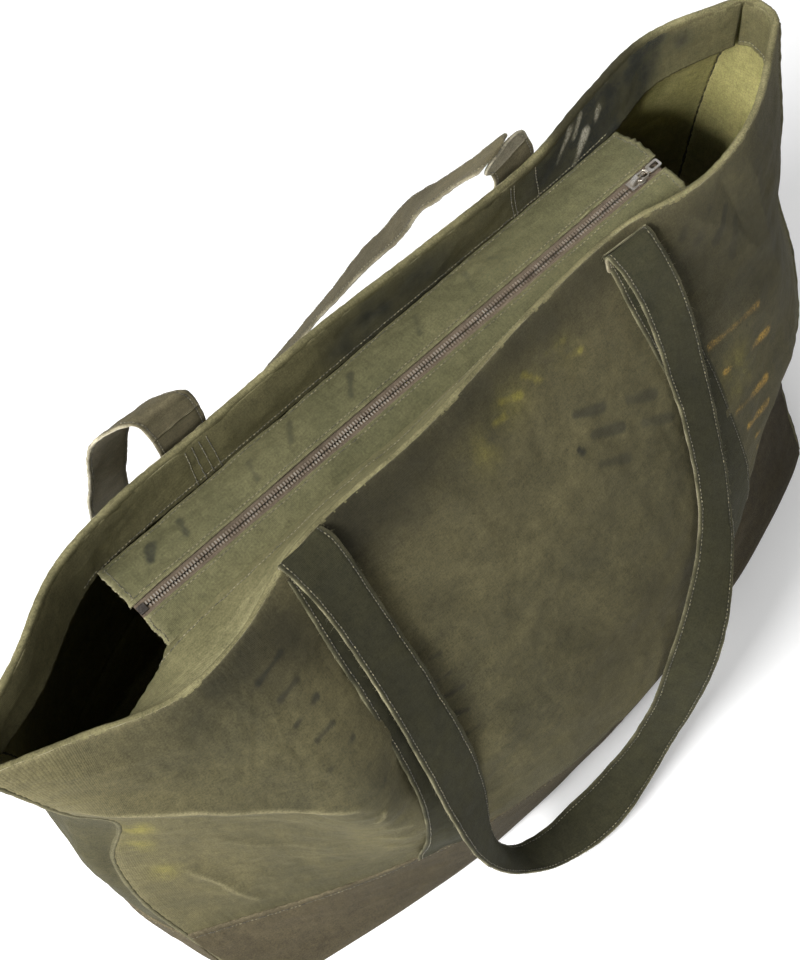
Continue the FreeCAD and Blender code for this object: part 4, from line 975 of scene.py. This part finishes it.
for nm, G, low, sg, sd in (("left", LEFT, FACE_L, -1.0, 151), ("right", RIGHT, FACE_R, 1.0, 161)):
    b, P2, N2, S2, T2 = facing_piece(nm, G, low, np.linspace(0.12, 3.88, 61), sg, sd, None, None, None, rows=22)
    H2 = T2[:, -1:]
    row = np.array([P2[k, int(np.argmin(np.abs(H2[k] - T2[k] - 4.2)))] for k in range(len(P2))])
    b.stitches(row, N2[:, -3], 3, seed=sd, tone=0.5)
    b.done(nm + "_facing_cloth", [M_FAC, M_BODYIN, M_RAW, M_THREAD], "bag", "canvas_facing", [nm + "_facing"])


# zip panel ---------------------------------------------------------------
ZIP_Z = 370.6


def strip(name, prof, x0, x1, seed, mat, node, rows_s, ends):
    """a doubled strip of cloth beside the zip: prof runs from the zip edge outwards (y, z of its middle)"""
    prof = resample(cr(arr(prof), np.linspace(0, len(prof) - 1, 60)), 0.8)
    xs = np.linspace(x0 + X0, x1 + X0, int((x1 - x0) / 2.2))
    S, W = np.meshgrid(xs, np.arange(len(prof)) * 0.8, indexing="ij")
    Wm = W.max()
    P = np.zeros(S.shape + (3,))
    P[..., 0] = S
    P[..., 1] = prof[None, :, 0]
    P[..., 2] = prof[None, :, 1]
    jag0 = 0.7 * fnoise(W[0], W[0] * 0, seed + 1, 6.0) + 0.35 * fnoise(W[0], W[0] * 0, seed + 2, 2.2)
    jag1 = 0.7 * fnoise(W[0], W[0] * 0, seed + 3, 6.0) + 0.35 * fnoise(W[0], W[0] * 0, seed + 4, 2.2)
    e0, e1 = sstep(12, 0, S - S[:1]), sstep(12, 0, S[-1:] - S)
    P[..., 0] += e0 * jag0[None] - e1 * jag1[None]
    tan = np.zeros_like(P)
    tan[..., 1:] = np.gradient(prof, axis=0)[None]
    N = unit(np.cross(np.broadcast_to(np.array([1.0, 0, 0]), P.shape), tan))
    if N[0, 0, 2] < 0:
        N = -N
    d = 0.5 * anoise(S, W, seed, 70, 24) + 0.22 * anoise(S, W, seed + 5, 16, 11) + pucker(S, W - 3, seed + 6, 0.22, 5.0, 7.0)
    edgew = np.minimum(W, Wm - W)
    th = 1.05 * np.sqrt(np.clip(1 - (1 - np.clip(edgew / 1.1, 0, 1)) ** 2, 0, 1))
    groove = 0.28 * np.exp(-((W - 3.0) / 0.9) ** 2)
    wear = 0.55 * np.exp(-edgew / 0.9) + 0.8 * e0 ** 3 * 0.6 + 0.8 * e1 ** 3 * 0.6
    b = Build()
    fab = np.stack([S, W, 0 * S], -1)
    Pt = P + N * (th + d - groove)[..., None]
    b.shell(Pt, N, 2 * np.maximum(th, 0.12), fab, flip=(name == "front"), mats=(0, 0, 1), wear=np.clip(wear, 0, 1), ink=strip_marks(name, P))
    for w0, x_in, tone in rows_s:
        k = int(np.argmin(np.abs(W[0] - w0)))
        sel = slice(int(x_in / 2.2), -1 - int(x_in / 2.2))
        b.stitches(Pt[sel, k], N[sel, k], 2, seed=seed + k, tone=tone, gap=1.3)
    for x_in in ends:
        k = int(x_in / 2.2) if x_in > 0 else -1 - int(-x_in / 2.2)
        b.stitches(Pt[k, 3:-3], N[k, 3:-3], 2, seed=seed + 90 + int(abs(x_in)), tone=0.4)
    for k, sg in ((0, -1.0), (-1, 1.0)):
        b.fibres(Pt[k] - N[k] * 0.8, np.array([sg, 0, 0.0]), N[k], 1, 46, 0.55, seed=seed + 40 + k)
    return b


def strip_marks(name, P):
    if name == "back":
        return 0.8 * marks(P, [((-178, 22, 371), (-172, 30, 370), 4.5, 1.0), ((-150, 19, 371), (-147, 31, 370), 3.2, 0.8), ((-92, 16, 371), (-88, 30, 370), 2.8, 0.6), ((-58, 21, 371), (-49, 34, 370), 2.8, 0.6), ((-8, 18, 371), (3, 31, 370), 3.0, 0.7), ((56, 20, 371), (64, 33, 369), 2.8, 0.5), ((104, 18, 371), (110, 33, 369), 2.5, 0.5), ((130, 30, 370), (138, 20, 371), 2.0, 0.45)])
    return np.zeros(P.shape[:2])


b = strip("back", [(5.6, 372.6), (12, 372.5), (19, 372.3), (27, 371.5), (34, 369.0), (40, 366.2), (44.8, 364.2)], -218.0, 256.0, 201, M_STRIP, None, [(3.0, 4, 0.65), (37.0, 4, 0.55)], (5.0, -5.0))
b.done("zip_strip_back_cloth", [M_STRIP, M_RAW, M_THREAD], "bag", "canvas_strip", ["zip_strip_back"])
b = strip("front", [(-5.8, 372.6), (-11, 372.4), (-17, 371.9), (-23, 370.0), (-29.6, 367.0)], -217.0, 253.0, 221, M_STRIP, None, [(3.0, 4, 0.65)], (4.0, -5.0))
b.done("zip_strip_front_cloth", [M_STRIP, M_RAW, M_THREAD], "bag", "canvas_strip", ["zip_strip_front"])

for nm, y0, y1, sd in (("back", 0.8, 14.5, 241), ("front", -14.5, -0.8, 242)):
    xs = np.linspace(-216.5 + X0, 252.0 + X0, 240)
    ys = np.linspace(y0, y1, 14)
    S, W = np.meshgrid(xs, ys, indexing="ij")
    P = np.stack([S, W, 0 * S + ZIP_Z + 0.35], -1)
    P[..., 2] += 0.12 * fnoise(S, W, sd, 22)
    N = np.broadcast_to(np.array([0, 0, 1.0]), P.shape)
    b = Build()
    b.shell(P, N, 0.7, np.stack([S, W, 0 * S], -1), mats=(0, 0, 0), wear=0.1)
    b.done("zip_tape_%s_cloth" % nm, [M_TAPE], "bag", "zip_tape", ["zip_tape_" + nm])

# heads of the closed zip's teeth, reaching towards each other and clear of the slider's web
b = Build()
xs = -208.8 + X0 + 2.35 / 2 * np.arange(2 * 184)
box = arr([(-0.42, -1, -1), (0.42, -1, -1), (0.42, 1, -1), (-0.42, 1, -1), (-0.42, -1, 1), (0.42, -1, 1), (0.42, 1, 1), (-0.42, 1, 1)])
pts = box[None] * np.array([1.0, 0.28, 0.86])[None, None] + np.stack([xs, 0 * xs, 0 * xs + ZIP_Z], -1)[:, None]
pts[:, :, 1] += np.where(np.arange(len(xs)) % 2 == 0, 0.52, -0.52)[:, None]
i0 = b.verts(pts, np.zeros(pts.shape)) + np.arange(len(xs) * 8).reshape(-1, 8)
for q in ((3, 2, 1, 0), (4, 5, 6, 7), (0, 1, 5, 4), (1, 2, 6, 5), (2, 3, 7, 6), (3, 0, 4, 7)):
    b.faces(i0[:, list(q)], 0)
b.done("zip_chain_heads", [M_TEETH], "bag", "zip_metal", smooth=False)


# ---------------------------------------------------------------- straps
def strap(pairs, thick, seed, step=2.2, mats=(0, 1, 2, 3), bright=1.0, ends_open=False, lead=None, under=0.0, curl=0.0, stitch=(True, True), bottom_stitch=True, fib=1.0):
    """a doubled canvas strap: pairs are its two edges in order along its length"""
    pairs = arr(pairs)
    C = pairs.mean(1)
    d = np.r_[0, np.cumsum(np.linalg.norm(np.diff(C, axis=0), axis=1))]
    n = int(d[-1] / step)
    # even stations along the smooth line
    tt = np.linspace(0, len(pairs) - 1, 40 * len(pairs))
    fine = cr(pairs, tt)
    fc = fine.mean(1)
    fd = np.r_[0, np.cumsum(np.linalg.norm(np.diff(fc, axis=0), axis=1))]
    t = np.interp(np.linspace(0, fd[-1], n), fd, tt)
    E = cr(pairs, t)
    for _ in range(3):
        E[1:-1] = 0.5 * E[1:-1] + 0.25 * (E[2:] + E[:-2])
    C = E.mean(1)
    half = (E[:, 1] - E[:, 0]) / 2
    hw = np.linalg.norm(half, axis=1)
    W = half / hw[:, None]
    Tn = unit(np.gradient(C, axis=0))
    N = unit(np.cross(Tn, W))
    s = np.r_[0, np.cumsum(np.linalg.norm(np.diff(C, axis=0), axis=1))]
    w = np.r_[-1.0, -0.992, -0.975, -0.95, -0.92, -0.87, -0.83, -0.79, -0.70, -0.5, -0.25, 0.0, 0.25, 0.5, 0.70, 0.79, 0.83, 0.87, 0.92, 0.95, 0.975, 0.992, 1.0]
    h = thick / 2 * np.sqrt(np.clip(1 - np.clip((np.abs(w) - 0.91) / 0.09, 0, 1) ** 2, 0, 1))
    groove = 0.30 * np.exp(-((np.abs(w) - 0.83) / 0.035) ** 2)
    crown = 0.30 * np.cos(w * math.pi / 2 * 0.85) - 0.12
    S, Wg = np.meshgrid(s, w, indexing="ij")
    Y = Wg * hw[:, None]
    edge_wob = 0.17 * fnoise(S, 0 * S + np.sign(Wg) * 50, seed + 3, 21) + 0.09 * fnoise(S, 0 * S + np.sign(Wg) * 50, seed + 4, 6)
    lat = Wg * hw[:, None] + np.sign(Wg) * edge_wob * np.abs(Wg) ** 6
    base = C[:, None] + W[:, None] * lat[..., None]
    wave = 0.45 * anoise(S, Y, seed, 60, 26) + 0.22 * anoise(S, Y, seed + 1, 15, 9) + pucker(S, (1 - np.abs(Wg)) * hw[:, None] - 3.2, seed + 2, 0.2, 4.0, 6.5)
    wave = wave - curl * (Wg ** 2)
    top = base + N[:, None] * (h[None] + crown[None] - groove[None] + wave)[..., None]
    bot = base + N[:, None] * (-h[None] + 0.3 * crown[None] + groove[None] * 0.8 + wave)[..., None]
    b = Build()
    # frayed edges are lighter (real wear); the left edge is lightened almost twice as much as the right, a painted
    # highlight on the side towards the light
    edge_wear_and_left_highlight = 1.0 * bright * np.exp(-((np.abs(w) - 1.0) / 0.042) ** 2) * np.where(w < 0, 1.0, 0.55) + 0.14 * np.exp(-((np.abs(w) - 0.9) / 0.05) ** 2)
    wear = np.clip(edge_wear_and_left_highlight[None] * (0.75 + 0.35 * fnoise(S, Wg * 30, seed + 6, 28)), 0, 1)
    # painted shade darkening the sewn grooves along both edges
    groove_shade = np.broadcast_to((0.42 * np.exp(-((np.abs(w) - 0.83) / 0.05) ** 2))[None], S.shape)
    fabt = np.stack([Y + 30, S, 0 * S], -1)
    nw, ns = len(w), len(s)
    i0 = b.verts(top, fabt, wear=wear, dark=groove_shade) + np.arange(ns * nw).reshape(ns, nw)
    fabb = fabt.copy()
    fabb[..., 2] += 2
    i1 = b.verts(bot[:, 1:-1], fabb[:, 1:-1], wear=wear[:, 1:-1], dark=groove_shade[:, 1:-1]) + np.arange(ns * (nw - 2)).reshape(ns, nw - 2)
    b.quads(i0, mats[0])
    full = np.concatenate([i0[:, :1], i1, i0[:, -1:]], 1)
    b.quads(full, mats[1], flip=True)
    for k, fl in ((0, False), (-1, True)):
        loop = i0[k].tolist() + i1[k][::-1].tolist()
        b.f.append([loop[::-1] if not fl else loop])
        b.m.append(np.array([mats[2]]))
    for sgn, on in ((-1, stitch[0]), (1, stitch[1])):
        if not on:
            continue
        k = int(np.argmin(np.abs(w - sgn * 0.83)))
        b.stitches(top[:, k], N, mats[3], seed=seed + 11 + sgn, tone=0.30)
        if bottom_stitch:
            b.stitches(bot[:, k], -N, mats[3], seed=seed + 15 + sgn, tone=0.35)
    if fib > 0:
        b.fibres(base[:, 0], -W, N, mats[2], int(s[-1] * 0.55 * fib), 1.0, 0.055, seed + 21)
        b.fibres(base[:, -1], W, N, mats[2], int(s[-1] * 0.35 * fib), 0.9, 0.055, seed + 22)
    return b, s


def leg_pairs(G, xb, xt, sign, v0, v1, off, n=60):
    us = np.linspace(0, len(G) - 1, 1001)
    xb_row = at(G, us, 0 * us + 1.0)[:, 0]
    xt_row = at(G, us, 0 * us + 7.0)[:, 0]
    cu = lambda row, x: us[int(np.argmin(np.abs(row - x)))]
    ua = (cu(xb_row, xb[0]), cu(xt_row, xt[0]))
    ub = (cu(xb_row, xb[1]), cu(xt_row, xt[1]))
    v = np.linspace(v0, v1, n)
    g = (v - 1.0) / 6.0
    out = []
    for a in (ua, ub):
        u = a[0] + (a[1] - a[0]) * g
        P = at(G, u, v)
        e = 0.02
        du = at(G, np.clip(u + e, 0, len(G) - 1), v) - at(G, np.clip(u - e, 0, len(G) - 1), v)
        dv = at(G, u, np.clip(v + e, 0, 7)) - at(G, u, np.clip(v - e, 0, 7))
        out.append(P + unit(np.cross(du, dv)) * sign * off)
    return np.stack(out, 1)


OFF = CLOTH_T + 1.15
for nm, xb, xt, sd in (("left", (-157, -119), (-128, -90), 301), ("right", (176, 213), (170, 208), 321)):
    pr = leg_pairs(FRONT, xb, xt, 1.0, 1.0, 6.86, OFF)[::-1]
    b, s = strap(pr, 2.3, sd, bottom_stitch=False, bright=0.45, fib=0.5)
    b.done("front_leg_%s_cloth" % nm, [M_STRAP, M_STRAP, M_RAW, M_THREAD], "bag", "canvas_strap", ["front_leg_" + nm])

for nm, xb, xt, rise, sd in (("left", (-130, -91), (-130, -91), RISE_BL, 341), ("right", (162, 201), (162, 201), RISE_BR, 361)):
    pr = leg_pairs(BACK, xb, xt, -1.0, 1.0, 6.8, OFF, 44)
    pr = pr[::3]
    pr = np.concatenate([pr, rise[:2]], 0)
    b, s = strap(pr, 2.3, sd, bottom_stitch=True, bright=0.7, fib=0.6, mats=(0, 1, 2, 3))
    b.done("back_leg_%s_cloth" % nm, [M_STRAPB, M_STRAPB, M_RAW, M_THREAD], "bag", "canvas_strap", ["back_leg_" + nm])

# carry handles: each bends where it leaves its sewn legs
lead = arr([((-128, -55.2, 384), (-90, -53.6, 385)), ((-128, -54.6, 395), (-90, -53.0, 396)), ((-128, -55.4, 401.4), (-90, -53.6, 402.6))])
tail = arr([((206, -44.8, 401.2), (169, -43.6, 402.8)), ((206, -43.6, 395), (169, -43.0, 396)), ((206, -44.2, 384), (169, -44.0, 385))])
b, s = strap(np.concatenate([lead, HANDLE_F, tail]), 2.7, 401)
hf = b.done("front_handle_cloth", [M_STRAP, M_STRAPB, M_RAW, M_THREAD], None, "canvas_strap", ["front_handle"])
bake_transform(hf)

lead = arr([RISE_BL[1], RISE_BL[2]])
tail = arr([RISE_BR[2], RISE_BR[1]])
b, s = strap(np.concatenate([lead, HANDLE_B, tail]), 2.7, 441, mats=(0, 1, 2, 3))
hb = b.done("back_handle_cloth", [M_STRAPIN, M_STRAPB, M_RAW, M_THREAD], None, "canvas_strap", ["back_handle"])
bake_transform(hb)

# ----------------------------------------------------- carried-over metal
for n, mt, w_ in (("zip_teeth_back", M_TEETH, 0), ("zip_teeth_front", M_TEETH, 0), ("zip_bottom_stop", M_STOP, 0.35), ("zip_top_stops", M_TEETH, 0.2),
                  ("slider_body", M_SLIDER, 0.22), ("slider_bridge", M_SLIDER, 0.3), ("pull_link", M_SLIDER, 0), ("pull_tab", M_SLIDER, 0.22)):
    o = NODES[n]
    o.data.materials.clear()
    o.data.materials.append(mt)
    if w_:
        bv = o.modifiers.new("soft_edges", "BEVEL")
        bv.width = w_ * MM
        bv.segments = 2
        bv.limit_method = "ANGLE"
        bv.angle_limit = math.radians(35)

# ------------------------------------------------------- floor and lights
fl = Nodes("floor_paper")
fl.b.inputs["Base Color"].default_value = (0.86, 0.86, 0.86, 1)
fl.b.inputs["Roughness"].default_value = 0.8
fl.b.inputs["Specular IOR Level"].default_value = 0.1
fl.b.inputs["Emission Color"].default_value = (1, 1, 1, 1)
fl.b.inputs["Emission Strength"].default_value = 0.20
me = bpy.data.meshes.new("studio_floor")
me.from_pydata([(-6, -6, -0.0006), (6, -6, -0.0006), (6, 6, -0.0006), (-6, 6, -0.0006)], [], [(0, 1, 2, 3)])
me.materials.append(fl.m)
floor = bpy.data.objects.new("studio_floor", me)
bpy.context.scene.collection.objects.link(floor)


def area(name, loc, target, size, power, color=(1, 1, 1), size_y=None):
    d = bpy.data.lights.new(name, "AREA")
    d.shape = "RECTANGLE" if size_y else "SQUARE"
    d.size = size
    if size_y:
        d.size_y = size_y
    d.energy = power
    d.color = color
    o = bpy.data.objects.new(name, d)
    bpy.context.scene.collection.objects.link(o)
    o.location = loc
    o.rotation_mode = "QUATERNION"
    o.rotation_quaternion = (Vector(target) - Vector(loc)).to_track_quat("-Z", "Y")
    return o


area("key", (-2.0, -0.30, 2.1), (0, 0, 0.2), 1.1, 116)
area("front_fill", (-1.9, -1.9, 1.3), (-0.1, 0, 0.15), 1.4, 16)
area("back_fill", (0.4, 2.0, 1.8), (0, 0, 0.2), 1.6, 10)
glow = area("inside_glow", (-0.50, -0.40, 1.15), (0.365, 0.03, 0.315), 0.12, 0.15)
glow.data.spread = math.radians(20)
w = bpy.data.worlds.new("studio")
bpy.context.scene.world = w
w.use_nodes = True
w.node_tree.nodes["Background"].inputs[0].default_value = (1, 1, 1, 1)
w.node_tree.nodes["Background"].inputs[1].default_value = 0.44
bpy.context.scene.view_settings.view_transform = "Standard"
bpy.context.scene.view_settings.look = "None"
